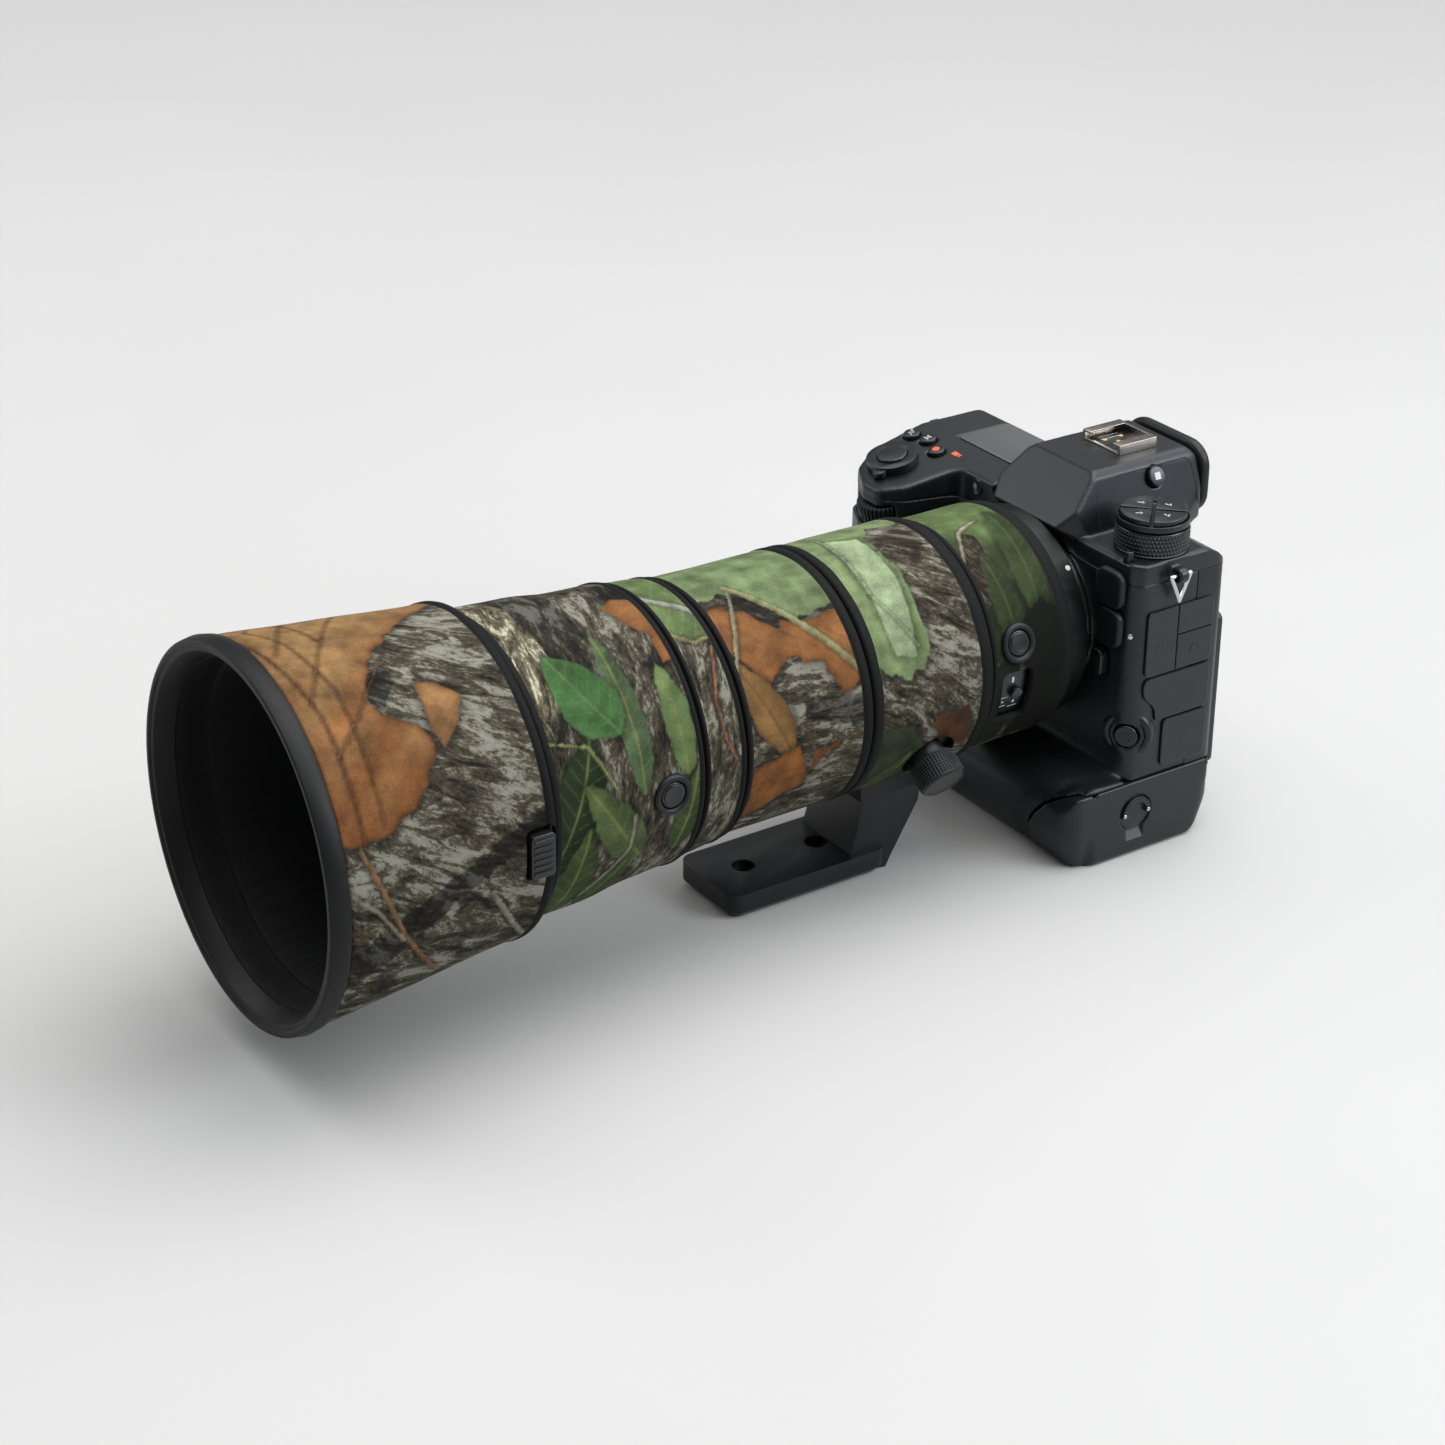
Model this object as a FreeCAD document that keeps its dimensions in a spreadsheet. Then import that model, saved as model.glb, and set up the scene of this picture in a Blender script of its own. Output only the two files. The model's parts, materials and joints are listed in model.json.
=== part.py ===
"""Professional mirrorless camera with an integral vertical grip, carrying a long telephoto
lens that wears a padded fabric coat.

Millimetres.  +X is the camera's left side (the port side), -Y is the way the lens looks and
+Z is up.  The origin is the mouth of the tripod socket in the base, under the lens axis.
"""
import FreeCAD
import Part
import Sketcher
import math
import os

SIZES = {
    # camera body, outer
    "base_height": 27.5,
    "base_front": -44.0,
    "casing_back": 27.0,
    "casing_top": 110.0,
    "casing_front": -18.0,
    "shell_split": 12.0,
    "port_side": 57.0,
    "grip_side": -86.4,
    "grip_nose": -48.0,
    "wall": 3.0,
    "shoulder_top": 118.0,
    "deck_top": 124.0,
    "hump_top": 139.2,
    "hump_front": -24.5,
    "hump_half": 25.2,
    "rubber_thick": 1.6,
    # mount and lens axis
    "axis_height": 82.0,
    "flange_pos": -20.0,
    "throat_rad": 27.5,
    "mount_rad": 33.5,
    # controls
    "deck_slope": 13.36,
    "shutter_x": -70.5,
    "shutter_y": -31.5,
    "shutter_rad": 5.9,
    "switch_rad": 10.2,
    "deck_button_rad": 3.3,
    "gap": 0.3,
    "drive_dial_x": 43.0,
    "drive_dial_y": 0.5,
    "drive_dial_rad": 13.8,
    "command_dial_rad": 10.0,
    "command_dial_thick": 6.4,
    # monitor
    "monitor_left": -38.0,
    "monitor_right": 47.0,
    "monitor_low": 20.0,
    "monitor_high": 83.0,
    # battery
    "battery_long": 82.5,
    "battery_deep": 55.6,
    "battery_high": 23.6,
    # accessory shoe
    "shoe_wide": 21.2,
    "shoe_long": 18.2,
    "shoe_slot": 18.7,
    "shoe_mouth": 12.7,
    # lens
    "coat_thick": 3.2,
    "rear_barrel_rad": 40.8,
    "collar_seat_rad": 38.0,
    "focus_seat_rad": 40.0,
    "control_seat_rad": 42.0,
    "front_barrel_rad": 47.2,
    "hood_seat_rad": 51.5,
    "running_gap": 0.06,
    "barrel_front": -298.0,
    "hood_front": -349.5,
    "hood_rear": -263.0,
    "collar_rad": 42.8,
    # lens foot
    "foot_half": 18.0,
    "foot_thick": 10.0,
    "foot_front": -166.0,
    "foot_rear": -96.0,
    "foot_hole_a": -148.8,
    "foot_hole_b": -116.3,
    "thread_rad": 2.55,
    "knob_rad": 9.0,
    "knob_pos": -95.5,
    "knob_angle": -34.0,
}


class Dim:
    """A size: its present value and the spreadsheet expression that gives it."""

    def __init__(self, value, text):
        self.value = float(value)
        self.text = text

    @staticmethod
    def of(item):
        if isinstance(item, Dim):
            return item
        return Dim(item, "(%r)" % float(item))

    def join(self, sign, other):
        other = Dim.of(other)
        result = {
            "+": lambda: self.value + other.value,
            "-": lambda: self.value - other.value,
            "*": lambda: self.value * other.value,
        }[sign]()
        return Dim(result, "(%s %s %s)" % (self.text, sign, other.text))

    def __add__(self, other):
        return self.join("+", other)

    def __radd__(self, other):
        return Dim.of(other).join("+", self)

    def __sub__(self, other):
        return self.join("-", other)

    def __rsub__(self, other):
        return Dim.of(other).join("-", self)

    def __mul__(self, other):
        return self.join("*", other)

    def __rmul__(self, other):
        return Dim.of(other).join("*", self)

    def __neg__(self):
        return Dim.of(0).join("-", self)


class Sizes:
    """The spreadsheet's sizes, each as a Dim attribute."""


doc = FreeCAD.newDocument("camera")
sheet = doc.addObject("Spreadsheet::Sheet", "Sizes")
size = Sizes()
for row, (word, amount) in enumerate(SIZES.items(), start=1):
    sheet.set("A%d" % row, word)
    sheet.set("B%d" % row, str(amount))
    sheet.setAlias("B%d" % row, word)
    setattr(size, word, Dim(amount, "Sizes." + word))
doc.recompute()

Z_AXIS = FreeCAD.Vector(0, 0, 1)
FORWARD = (0, -1, 0)
BACKWARD = (0, 1, 0)
PORT = (1, 0, 0)
UP = (0, 0, 1)
nodes = []


def place(item, x=0.0, y=0.0, z=0.0, direction=None, spin=0.0):
    """Put an object's origin at x, y, z, its own Z turned along direction."""
    turn = FreeCAD.Rotation(Z_AXIS, spin)
    if direction is not None:
        turn = FreeCAD.Rotation(Z_AXIS, FreeCAD.Vector(*direction)).multiply(turn)
    item.Placement = FreeCAD.Placement(FreeCAD.Vector(0, 0, 0), turn)
    for letter, amount in zip("xyz", (x, y, z)):
        item.setExpression(".Placement.Base." + letter, Dim.of(amount).text)
    return item


def box(name, x_span, y_span, z_span):
    item = doc.addObject("Part::Box", name)
    for word, span in (("Length", x_span), ("Width", y_span), ("Height", z_span)):
        item.setExpression(word, (Dim.of(span[1]) - span[0]).text)
    return place(item, x_span[0], y_span[0], z_span[0])


def rod(name, start, radius, length, direction=UP, angle=360.0, spin=0.0):
    item = doc.addObject("Part::Cylinder", name)
    item.setExpression("Radius", Dim.of(radius).text)
    item.setExpression("Height", Dim.of(length).text)
    item.Angle = angle
    return place(item, *start, direction=direction, spin=spin)


def ball(name, centre, radius):
    item = doc.addObject("Part::Sphere", name)
    item.setExpression("Radius", Dim.of(radius).text)
    return place(item, *centre)


def fuse(name, shapes):
    item = doc.addObject("Part::MultiFuse", name)
    item.Shapes = shapes
    return item


def common(name, shapes):
    item = doc.addObject("Part::MultiCommon", name)
    item.Shapes = shapes
    return item


def cut(name, base, tools):
    item = doc.addObject("Part::Cut", name)
    item.Base = base
    if len(tools) == 1:
        item.Tool = tools[0]
    else:
        item.Tool = fuse(name + "_cutters", tools)
    return item


def outline(body, plane, points):
    """A closed polygon on one of the body's origin planes, each corner driven by the sheet."""
    sketch = body.newObject("Sketcher::SketchObject", body.Name + "_sketch")
    planes = [item for item in body.Origin.OriginFeatures if item.Role == plane]
    sketch.AttachmentSupport = [(planes[0], "")]
    sketch.MapMode = "FlatFace"
    corners = [(Dim.of(a), Dim.of(b)) for a, b in points]
    spots = [FreeCAD.Vector(a.value, b.value, 0) for a, b in corners]
    for here, there in zip(spots, spots[1:] + spots[:1]):
        sketch.addGeometry(Part.LineSegment(here, there), False)
    count = len(spots)
    for index in range(count):
        following = (index + 1) % count
        sketch.addConstraint(Sketcher.Constraint("Coincident", index, 2, following, 1))
    for index, pair in enumerate(corners):
        for kind, amount in zip(("DistanceX", "DistanceY"), pair):
            rule = Sketcher.Constraint(kind, -1, 1, index, 1, amount.value)
            number = sketch.addConstraint(rule)
            sketch.setExpression("Constraints[%d]" % number, amount.text)
    return sketch


def prism(name, plane, points, start, end):
    """A polygon padded along its plane's normal, from start to end on that axis."""
    body = doc.addObject("PartDesign::Body", name)
    pad = body.newObject("PartDesign::Pad", name + "_pad")
    pad.Profile = outline(body, plane, points)
    body.Tip = pad
    pad.setExpression("Length", (Dim.of(end) - start).text)
    if plane == "XY_Plane":
        return place(body, z=start)
    if plane == "YZ_Plane":
        return place(body, x=start)
    # the XZ plane's normal points to -Y, so the pad runs down from the far end
    return place(body, y=end)


def turned(name, points):
    """A profile of (radius, y) corners turned about the lens axis."""
    body = doc.addObject("PartDesign::Body", name)
    sketch = outline(body, "XY_Plane", points)
    turn = body.newObject("PartDesign::Revolution", name + "_turn")
    turn.Profile = sketch
    turn.ReferenceAxis = (sketch, ["V_Axis"])
    turn.Angle = 360.0
    body.Tip = turn
    return place(body, z=size.axis_height)


def edges_along(shape, axis, test=None):
    """Names of the straight edges that run along one axis, kept if test(middle) is true."""
    names = []
    for number, edge in enumerate(shape.Edges, start=1):
        if not isinstance(edge.Curve, Part.Line):
            continue
        heading = edge.Vertexes[1].Point - edge.Vertexes[0].Point
        if abs(heading.normalize()[axis]) < 0.999:
            continue
        if test is None or test(edge.CenterOfMass):
            names.append("Edge%d" % number)
    return names


def soften(body, radius, axis, test=None):
    """Round the body's edges that run along one axis."""
    doc.recompute()
    tip = body.Tip
    names = edges_along(tip.Shape, axis, test)
    fillet = body.newObject("PartDesign::Fillet", "%s_round%d" % (body.Name, len(body.Group)))
    fillet.Base = (tip, names)
    fillet.Radius = radius
    body.Tip = fillet
    return body


def slab(name, x_span, y_span, z_span, radius, axis):
    """A box whose edges along one axis are rounded."""
    spans = (x_span, y_span, z_span)
    plane = ("YZ_Plane", "XZ_Plane", "XY_Plane")[axis]
    across = [span for index, span in enumerate(spans) if index != axis]
    (a, b), (c, d) = across
    corners = [(a, c), (b, c), (b, d), (a, d)]
    body = prism(name, plane, corners, spans[axis][0], spans[axis][1])
    return soften(body, radius, axis)


def bevel_rim(body, width, level):
    """Bevel every edge of the body that lies in the plane z = level."""
    doc.recompute()
    tip = body.Tip
    names = []
    for number, edge in enumerate(tip.Shape.Edges, start=1):
        heights = [vertex.Point.z for vertex in edge.Vertexes]
        if max(abs(height - level) for height in heights) < 0.001:
            names.append("Edge%d" % number)
    chamfer = body.newObject("PartDesign::Chamfer", body.Name + "_bevel")
    chamfer.Base = (tip, names)
    chamfer.Size = width
    body.Tip = chamfer
    return body


def keep(item):
    """Mark an object as one sub-part of the camera."""
    item.Label = item.Name
    nodes.append(item)
    return item


def radial(angle):
    """Unit direction out from the lens axis; 0 points to port, 90 up."""
    turn = math.radians(angle)
    return (math.cos(turn), 0.0, math.sin(turn))


def out_from_axis(angle, distance, along):
    """Point at a distance from the lens axis, at a position along it."""
    way = radial(angle)
    height = size.axis_height + distance * way[2]
    return (Dim.of(distance) * way[0], along, height)


# ---------------------------------------------------------------- casings
SLOPE = math.radians(SIZES["deck_slope"])
DECK_NORMAL = (0.0, -math.sin(SLOPE), math.cos(SLOPE))
DECK_BREAK = -6.0


def deck_point(x, y, lift=0.0):
    """Point on the sloping front of the top deck, lifted along its normal."""
    drop = (Dim.of(y) - DECK_BREAK) * math.tan(SLOPE)
    return (x, Dim.of(y) + DECK_NORMAL[1] * lift, size.deck_top + drop + DECK_NORMAL[2] * lift)


s = size
grip_outline = [
    (-46, s.casing_front),
    (-48, -24),
    (-52, -40),
    (-58.5, s.grip_nose),
    (-68, s.grip_nose),
    (-79.5, -42),
    (s.grip_side, -30),
]
port_outline = [(s.port_side, -14.5), (53, s.casing_front)]

block = prism(
    "front_casing_block", "XY_Plane",
    [(s.port_side, s.shell_split)] + port_outline + grip_outline + [(s.grip_side, s.shell_split)],
    s.base_height, s.casing_top)
soften(block, 3.0, 2, lambda p: p.x > 0 and p.y < 5)
soften(block, 6.0, 2, lambda p: p.x < 0 and p.y < 5)
front_cavity = prism(
    "front_casing_cavity", "XY_Plane",
    [(s.port_side - s.wall, s.shell_split + 1), (s.port_side - s.wall, -12.5), (51.5, -14.5),
     (-49.6, -14.5), (-51.6, -25), (-55.2, -38.4), (-59.8, -44.8), (-67.2, -44.8),
     (-77.4, -39.4),
     (s.grip_side + s.wall, -29), (s.grip_side + s.wall, s.shell_split + 1)],
    s.base_height + s.wall, s.casing_top + 1)
throat = rod("throat_cutter", (0, -10, s.axis_height), s.throat_rad, 12, FORWARD)
mount_seat = rod("mount_seat_cutter", (0, s.casing_front + 1, s.axis_height),
                 s.mount_rad + 0.05, 4, FORWARD)

# front command dial, set in a slot in the nose of the grip under the shutter button
FRONT_DIAL_AXIS = (0.0, -0.23, 0.973)
front_dial_foot = (-65.0, -39.4, 101.6)
front_dial_slot = rod("front_dial_slot", (-65.0, -39.23, 100.9), s.command_dial_rad + 0.5,
                      s.command_dial_thick + 1.4, FRONT_DIAL_AXIS)
front_dial = keep(cut(
    "front_command_dial",
    rod("front_dial_wheel", front_dial_foot, s.command_dial_rad, s.command_dial_thick,
        FRONT_DIAL_AXIS),
    [rod("front_dial_bore", front_dial_foot, 2.0, 20, FRONT_DIAL_AXIS)]))

# lens release button beside the mount, and the focus button on the lower front corner
release_hole = slab("release_hole", (37.7, 44.5), (s.casing_front - 5, s.casing_front + 5),
                    (70.1, 80.9), 2.5, 1)
keep(slab("lens_release_button", (38.0, 44.2), (s.casing_front - 3.6, s.casing_front + 3.6),
          (70.4, 80.6), 2.2, 1))
CORNER_WAY = (0.62, -0.7846, 0.0)
focus_hole = rod("focus_hole", (49.8, -10.2, 49.2), 4.6, 14, CORNER_WAY)
focus_boss = rod("focus_boss", (50.8, -11.4, 49.2), 6.6, 5.2, CORNER_WAY)
keep(rod("focus_mode_button", (50.9, -11.6, 49.2), 4.3, 6.4, CORNER_WAY))

battery_left = -28.0
chamber = box("battery_chamber", (battery_left - 1, 70), (-32.3, s.casing_back - 2.6),
              (6.4, 30.8))
casing_cuts = [front_cavity, throat, mount_seat, front_dial_slot, release_hole, focus_hole,
               chamber]
front_casing = keep(cut(
    "front_casing", fuse("front_casing_bossed", [block, focus_boss]), casing_cuts))

rear_block = prism(
    "rear_casing_block", "XY_Plane",
    [(s.port_side, s.shell_split), (s.port_side, s.casing_back), (s.grip_side, s.casing_back),
     (s.grip_side, s.shell_split)],
    s.base_height, s.casing_top)
soften(rear_block, 6.0, 2, lambda p: p.y > 20)
rear_cavity = box(
    "rear_casing_cavity", (s.grip_side + s.wall, s.port_side - s.wall),
    (s.shell_split - 1, s.casing_back - s.wall), (s.base_height + s.wall, s.casing_top + 1))
selector_hole = rod("selector_hole", (-60, 22, 66), 9.9, 12, BACKWARD)
rear_casing = keep(cut("rear_casing", rear_block, [rear_cavity, selector_hole, chamber]))
keep(rod("multi_selector", (-60, s.casing_back - 2.6, 66), 9.5, 6.0, BACKWARD))

# rubber skin of the hand grip
rubber_blank = prism(
    "grip_rubber_blank", "XY_Plane",
    [(-46.2, -23.4), (-50.5, -40.8), (-57.8, s.grip_nose - s.rubber_thick),
     (-68.4, s.grip_nose - s.rubber_thick), (-80.4, -43.3),
     (s.grip_side - s.rubber_thick, -30.6),
     (s.grip_side - s.rubber_thick, 9), (s.grip_side + 6, 9), (-60, -20)],
    s.base_height + 1, 98.5)
soften(rubber_blank, 6.0, 2, lambda p: p.y < -29)
keep(cut("hand_grip_rubber", rubber_blank, [block]))

# ---------------------------------------------------------------- base with the battery
base_block = prism(
    "base_block", "YZ_Plane",
    [(s.base_front, 5.5), (s.base_front + 1.6, 1.7), (s.base_front + 5.2, 0),
     (s.casing_back - 8.5, 0), (s.casing_back - 2.9, 2.2), (s.casing_back, 7.8),
     (s.casing_back, s.base_height), (s.casing_front, s.base_height),
     (s.casing_front, 32.4), (-31, 33), (-40, 29.5), (s.base_front, 24)],
    s.grip_side - 0.8, s.port_side + 0.8)
soften(base_block, 7.0, 2, lambda p: abs(p.z - 14) < 8)
battery_y = (-31.9, -31.9 + s.battery_deep)
battery_z = (6.8, 6.8 + s.battery_high)
battery_end = battery_left + s.battery_long
base_space = box("base_space", (s.grip_side + 2.6, battery_left - 4), (-30, s.casing_back - 2.6),
                 (s.wall, s.base_height + 1))
socket = rod("socket_cutter", (0, 0, -1), s.thread_rad, 20)
grip_foot = box("grip_foot_space", (-95, -45.4), (-60, s.casing_front), (s.base_height, 45))


def cover_zone(name, spread, floor):
    """The end of the base that is the battery cover: a plate, and the swell below the crease."""
    plate = box(name + "_plate", (battery_end - spread, 70), (-60, 40),
                (floor, s.base_height - 0.3 + spread))
    crease = [(34, 12), (38, 18), (43, 23.5), (49, 28), (54.5, 30.5), (62, 30.5)]
    swell = prism(name + "_swell", "XZ_Plane",
                  [(62, floor), (34 - spread, floor)]
                  + [(x - spread, z + spread) for x, z in crease],
                  -60, -32.6 + spread)
    return fuse(name, [plate, swell])


base_casing = keep(cut("base_casing", base_block,
                       [chamber, base_space, socket, grip_foot, cover_zone("opening", 0.3, -1)]))
keep(box("battery_pack", (battery_left, battery_end), battery_y, battery_z))
latch_centre = (-11.5, 17.5)
cover_end = common("cover_end", [base_block, cover_zone("cover", 0, 0.35)])
cover_lip = slab("cover_lip", (battery_end, s.port_side + 0.8), (-32, s.casing_back - 2.9),
                 (20, 30.5), 2.5, 0)
latch_seat = rod("latch_seat", (s.port_side - 1.4, latch_centre[0], latch_centre[1]), 7.3, 5, PORT)
finger_ramp = prism("finger_ramp", "XZ_Plane",
                    [(60, 11.2), (s.port_side - 1.4, 11.2), (s.port_side + 0.9, 6.4), (60, 6.4)],
                    latch_centre[0] - 4.1, latch_centre[0] + 4.1)
keep(cut("battery_door", fuse("cover_whole", [cover_end, cover_lip]), [latch_seat, finger_ramp]))
latch_disc = rod("latch_disc", (s.port_side - 1.1, latch_centre[0], latch_centre[1]), 7.0, 1.2,
                 PORT)
bow_start = (s.port_side + 0.05, latch_centre[0], latch_centre[1])
bow_round = rod("latch_bow_round", bow_start, 6.7, 1.5, PORT)
bow_hole = rod("latch_bow_hole", (s.port_side + 0.1, latch_centre[0], latch_centre[1]), 4.7, 3,
               PORT)
bow_below = box("latch_bow_below", (s.port_side + 0.1, s.port_side + 4),
                (latch_centre[0] - 9, latch_centre[0] + 9), (5, latch_centre[1] - 0.8))
keep(fuse("battery_latch", [latch_disc, cut("latch_bow", bow_round, [bow_hole, bow_below])]))

# ---------------------------------------------------------------- top cover
cover_plan = prism(
    "cover_plan", "XY_Plane",
    [(s.port_side, s.casing_back)] + port_outline + grip_outline
    + [(s.grip_side, s.casing_back)],
    s.casing_top, 150)
soften(cover_plan, 3.0, 2, lambda p: p.x > 0 and p.y < 5)
soften(cover_plan, 6.0, 2, lambda p: p.x < 0 or p.y > 5)
deck_side = prism(
    "deck_side", "YZ_Plane",
    [(-52, s.casing_top), (-52, 111), deck_point(0, -46)[1:], (DECK_BREAK, s.deck_top),
     (23, s.deck_top), (s.casing_back + 0.5, 120.5), (s.casing_back + 0.5, s.casing_top)],
    -90, -26)
shoulder_side = prism(
    "shoulder_side", "YZ_Plane",
    [(-20, s.casing_top), (-20, 116), (-16.5, s.shoulder_top), (15.5, s.shoulder_top),
     (22, 115), (s.casing_back + 0.5, s.casing_top + 0.6), (s.casing_back + 0.5, s.casing_top)],
    -26, s.port_side)
shoulders = common(
    "cover_shoulders", [cover_plan, fuse("cover_sides", [deck_side, shoulder_side])])
hump_side = prism(
    "hump_side", "YZ_Plane",
    [(s.casing_front, s.casing_top), (s.casing_front, 117), (s.hump_front + 0.8, 119.8),
     (s.hump_front, 121.2), (-6.4, s.hump_top), (40, s.hump_top), (43, 136), (43, 111.5),
     (s.casing_back, s.casing_top)],
    -40, 40)
hump_front_view = prism(
    "hump_front_view", "XZ_Plane",
    [(-29, s.casing_top), (29, s.casing_top), (28, 116.5), (s.hump_half, s.shoulder_top + 0.6),
     (19, 137.2), (16.5, s.hump_top), (-16.5, s.hump_top), (-19, 137.2), (-24, 124.6),
     (-29, 122.5)],
    -60, 60)
hump_plan = prism(
    "hump_plan", "XY_Plane",
    [(-17.8, -25), (17.8, -25), (s.hump_half + 0.4, -13.5), (29, -10), (29, 26), (22.8, 43.5),
     (-22.8, 43.5), (-29, 26), (-29, -10), (-s.hump_half - 0.4, -13.5)],
    100, 145)
hump = common("cover_hump", [hump_side, hump_front_view, hump_plan])

# strap eyelets, one at each end of the top cover
eyelets = []
eyelet_holes = []
for label, x, y, z, side in (("port", 60.2, 0.0, 112.6, -1), ("grip", -89.6, 4.0, 119.0, 1)):
    eyelets.append(rod("eyelet_" + label, (x, y + 2.1, z), 2.9, 4.2, FORWARD))
    ends = sorted((x, x + side * 6.0))
    eyelets.append(box("eyelet_neck_" + label, ends, (y - 2.1, y + 2.1), (z - 2.4, z + 2.4)))
    eyelet_holes.append(rod("eyelet_hole_" + label, (x, y + 4, z), 1.35, 8, FORWARD))
    wire = 0.85
    corners = [(x, y - 4.6, z), (x, y + 4.6, z), (x, y, z - 10.2)]
    pieces = [ball("ring_%s_corner%d" % (label, i), spot, wire) for i, spot in enumerate(corners)]
    for i, spot in enumerate(corners):
        goal = corners[(i + 1) % 3]
        way = FreeCAD.Vector(*goal) - FreeCAD.Vector(*spot)
        pieces.append(rod("ring_%s_side%d" % (label, i), spot, wire, way.Length, tuple(way)))
    keep(fuse("strap_ring_" + label, pieces))

# drive dial: fixed post and button plate standing on the port shoulder, with the dial round it
dial_x = s.drive_dial_x
dial_y = s.drive_dial_y
dial_post = rod("dial_post", (dial_x, dial_y, s.shoulder_top - 1), 9.0, 11)
dial_plate = rod("dial_plate", (dial_x, dial_y, 127.8), 13.5, 3.0)
dial_well = rod("dial_well", (dial_x, dial_y, 129.1), 12.9, 4)
dial_tower = cut("dial_tower", fuse("dial_tower_solid", [dial_post, dial_plate]), [dial_well])
keep(cut(
    "release_mode_dial",
    rod("dial_wheel", (dial_x, dial_y, s.shoulder_top + 0.4), s.drive_dial_rad, 9.0),
    [rod("dial_wheel_bore", (dial_x, dial_y, s.shoulder_top - 1), 9.06, 20)]))
for index, label in enumerate(("rear", "inner", "front", "outer")):
    spin = 45.0 + 90.0 * index
    way = math.radians(spin + 45.0)
    keep(rod("dial_button_" + label,
             (dial_x + 0.7 * math.cos(way), dial_y + 0.7 * math.sin(way), 130.1),
             11.8, 2.2, UP, 88.0, spin + 1.0))
lock_hole = rod("lock_hole", (49.0, -15.3, s.shoulder_top - 4), 1.9, 10)
keep(rod("dial_lock_pin", (49.0, -15.3, s.shoulder_top - 2.6), 1.6, 6.2))

# buttons and dials of the grip-side deck
shutter_hole = rod("shutter_hole", deck_point(s.shutter_x, s.shutter_y, -4.2),
                   s.shutter_rad + s.gap, 12, DECK_NORMAL)
keep(rod("shutter_button", deck_point(s.shutter_x, s.shutter_y, -2.6), s.shutter_rad, 7.0,
         DECK_NORMAL))
switch_disc = rod("switch_disc", deck_point(s.shutter_x, s.shutter_y, 0.3), s.switch_rad, 3.2,
                  DECK_NORMAL)
switch_tab = rod("switch_tab", deck_point(s.shutter_x + 4.6, s.shutter_y - 9.6, 0.6), 2.6, 2.4,
                 DECK_NORMAL)
keep(cut("power_switch_ring", fuse("switch_solid", [switch_disc, switch_tab]),
         [rod("switch_bore", deck_point(s.shutter_x, s.shutter_y, -2), s.shutter_rad + s.gap, 10,
              DECK_NORMAL)]))
deck_holes = []
for label, x, y in (("record_button", -63.0, -16.4), ("iso_button", -72.6, -13.0),
                    ("exposure_button", -81.0, -14.6)):
    deck_holes.append(rod(label + "_hole", deck_point(x, y, -3.6), s.deck_button_rad + s.gap,
                          10, DECK_NORMAL))
    keep(rod(label, deck_point(x, y, -2.2), s.deck_button_rad, 3.8, DECK_NORMAL))
rear_dial_slot = rod("rear_dial_slot", (-66, 19.5, 112.6), s.command_dial_rad + 0.5,
                     s.command_dial_thick + 1.0)
keep(cut("rear_command_dial",
         rod("rear_dial_wheel", (-66, 19.5, 113.1), s.command_dial_rad, s.command_dial_thick),
         [rod("rear_dial_bore", (-66, 19.5, 112), 2.0, 20)]))
display_seat = box("display_seat", (-67.3, -32.7), (-3.3, 23.3 - 1), (s.deck_top - 1.2, 130))
keep(slab("top_display_glass", (-67, -33), (-3, 22), (s.deck_top - 1.2, s.deck_top + 0.4),
          2.5, 2))
monitor_hole_way = (0.9, 0.0, 0.43589)
mode_hole = rod("mode_hole", (17.6, 20.6, 131.2), 4.1, 14, monitor_hole_way)
keep(rod("monitor_mode_button", (18.8, 20.6, 131.78), 3.8, 4.0, monitor_hole_way))
finder_bay = box("finder_bay", (-15, 15), (-6, 40.2), (s.casing_top - 1, 135.5))
finder_mouth = box("finder_mouth", (-12.5, 12.5), (30, 50), (117, 133.5))
lens_arch = rod("lens_arch", (0, s.casing_front + 0.5, s.axis_height), 36.0, 40, FORWARD)
cover_solid = fuse("cover_solid", [shoulders, hump, dial_tower] + eyelets)
keep(cut("top_cover", cover_solid,
         [lock_hole, shutter_hole, rear_dial_slot, front_dial_slot, display_seat, mode_hole,
          finder_bay, finder_mouth, lens_arch, mount_seat] + deck_holes + eyelet_holes))
keep(fuse("viewfinder_unit", [
    box("finder_block", (-14, 14), (-4, 40), (s.casing_top + 1, 135)),
    box("finder_eyepiece", (-12.2, 12.2), (40, 42.6), (117.3, 133.2))]))
cup_outer = slab("eyecup_outer", (-22.4, 22.4), (43, 48), (110.4, 139.8), 10.0, 1)
cup_inner = slab("eyecup_inner", (-14.5, 14.5), (42, 51), (116.4, 133.8), 5.0, 1)
keep(cut("eyecup", cup_outer, [cup_inner]))

# accessory shoe: base plate, two walls and two lips that leave the foot's slot
shoe_y = (11.6, 11.6 + s.shoe_long)
half = s.shoe_wide * 0.5
shoe_body = box("shoe_body", (-half, half), shoe_y, (s.hump_top, s.hump_top + 4.1))
slot_half = s.shoe_slot * 0.5
mouth_half = s.shoe_mouth * 0.5
shoe_slot = box("shoe_slot", (-slot_half, slot_half), (5, 28.6),
                (s.hump_top + 1.0, s.hump_top + 3.1))
shoe_mouth = box("shoe_mouth", (-mouth_half, mouth_half), (5, 28.6),
                 (s.hump_top + 1.0, s.hump_top + 9))
keep(cut("hot_shoe", shoe_body, [shoe_slot, shoe_mouth]))

# ---------------------------------------------------------------- mount, sensor and boards
keep(cut("lens_mount_ring",
         rod("mount_ring_disc", (0, s.casing_front + 1, s.axis_height), s.mount_rad, 3, FORWARD),
         [rod("mount_ring_bore", (0, -10, s.axis_height), s.throat_rad, 14, FORWARD)]))
keep(box("image_sensor", (-25, 25), (-4, 0.5), (s.axis_height - 19, s.axis_height + 19)))
keep(box("main_circuit_board", (-50, 50), (4, 5.6), (38, 106)))

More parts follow.
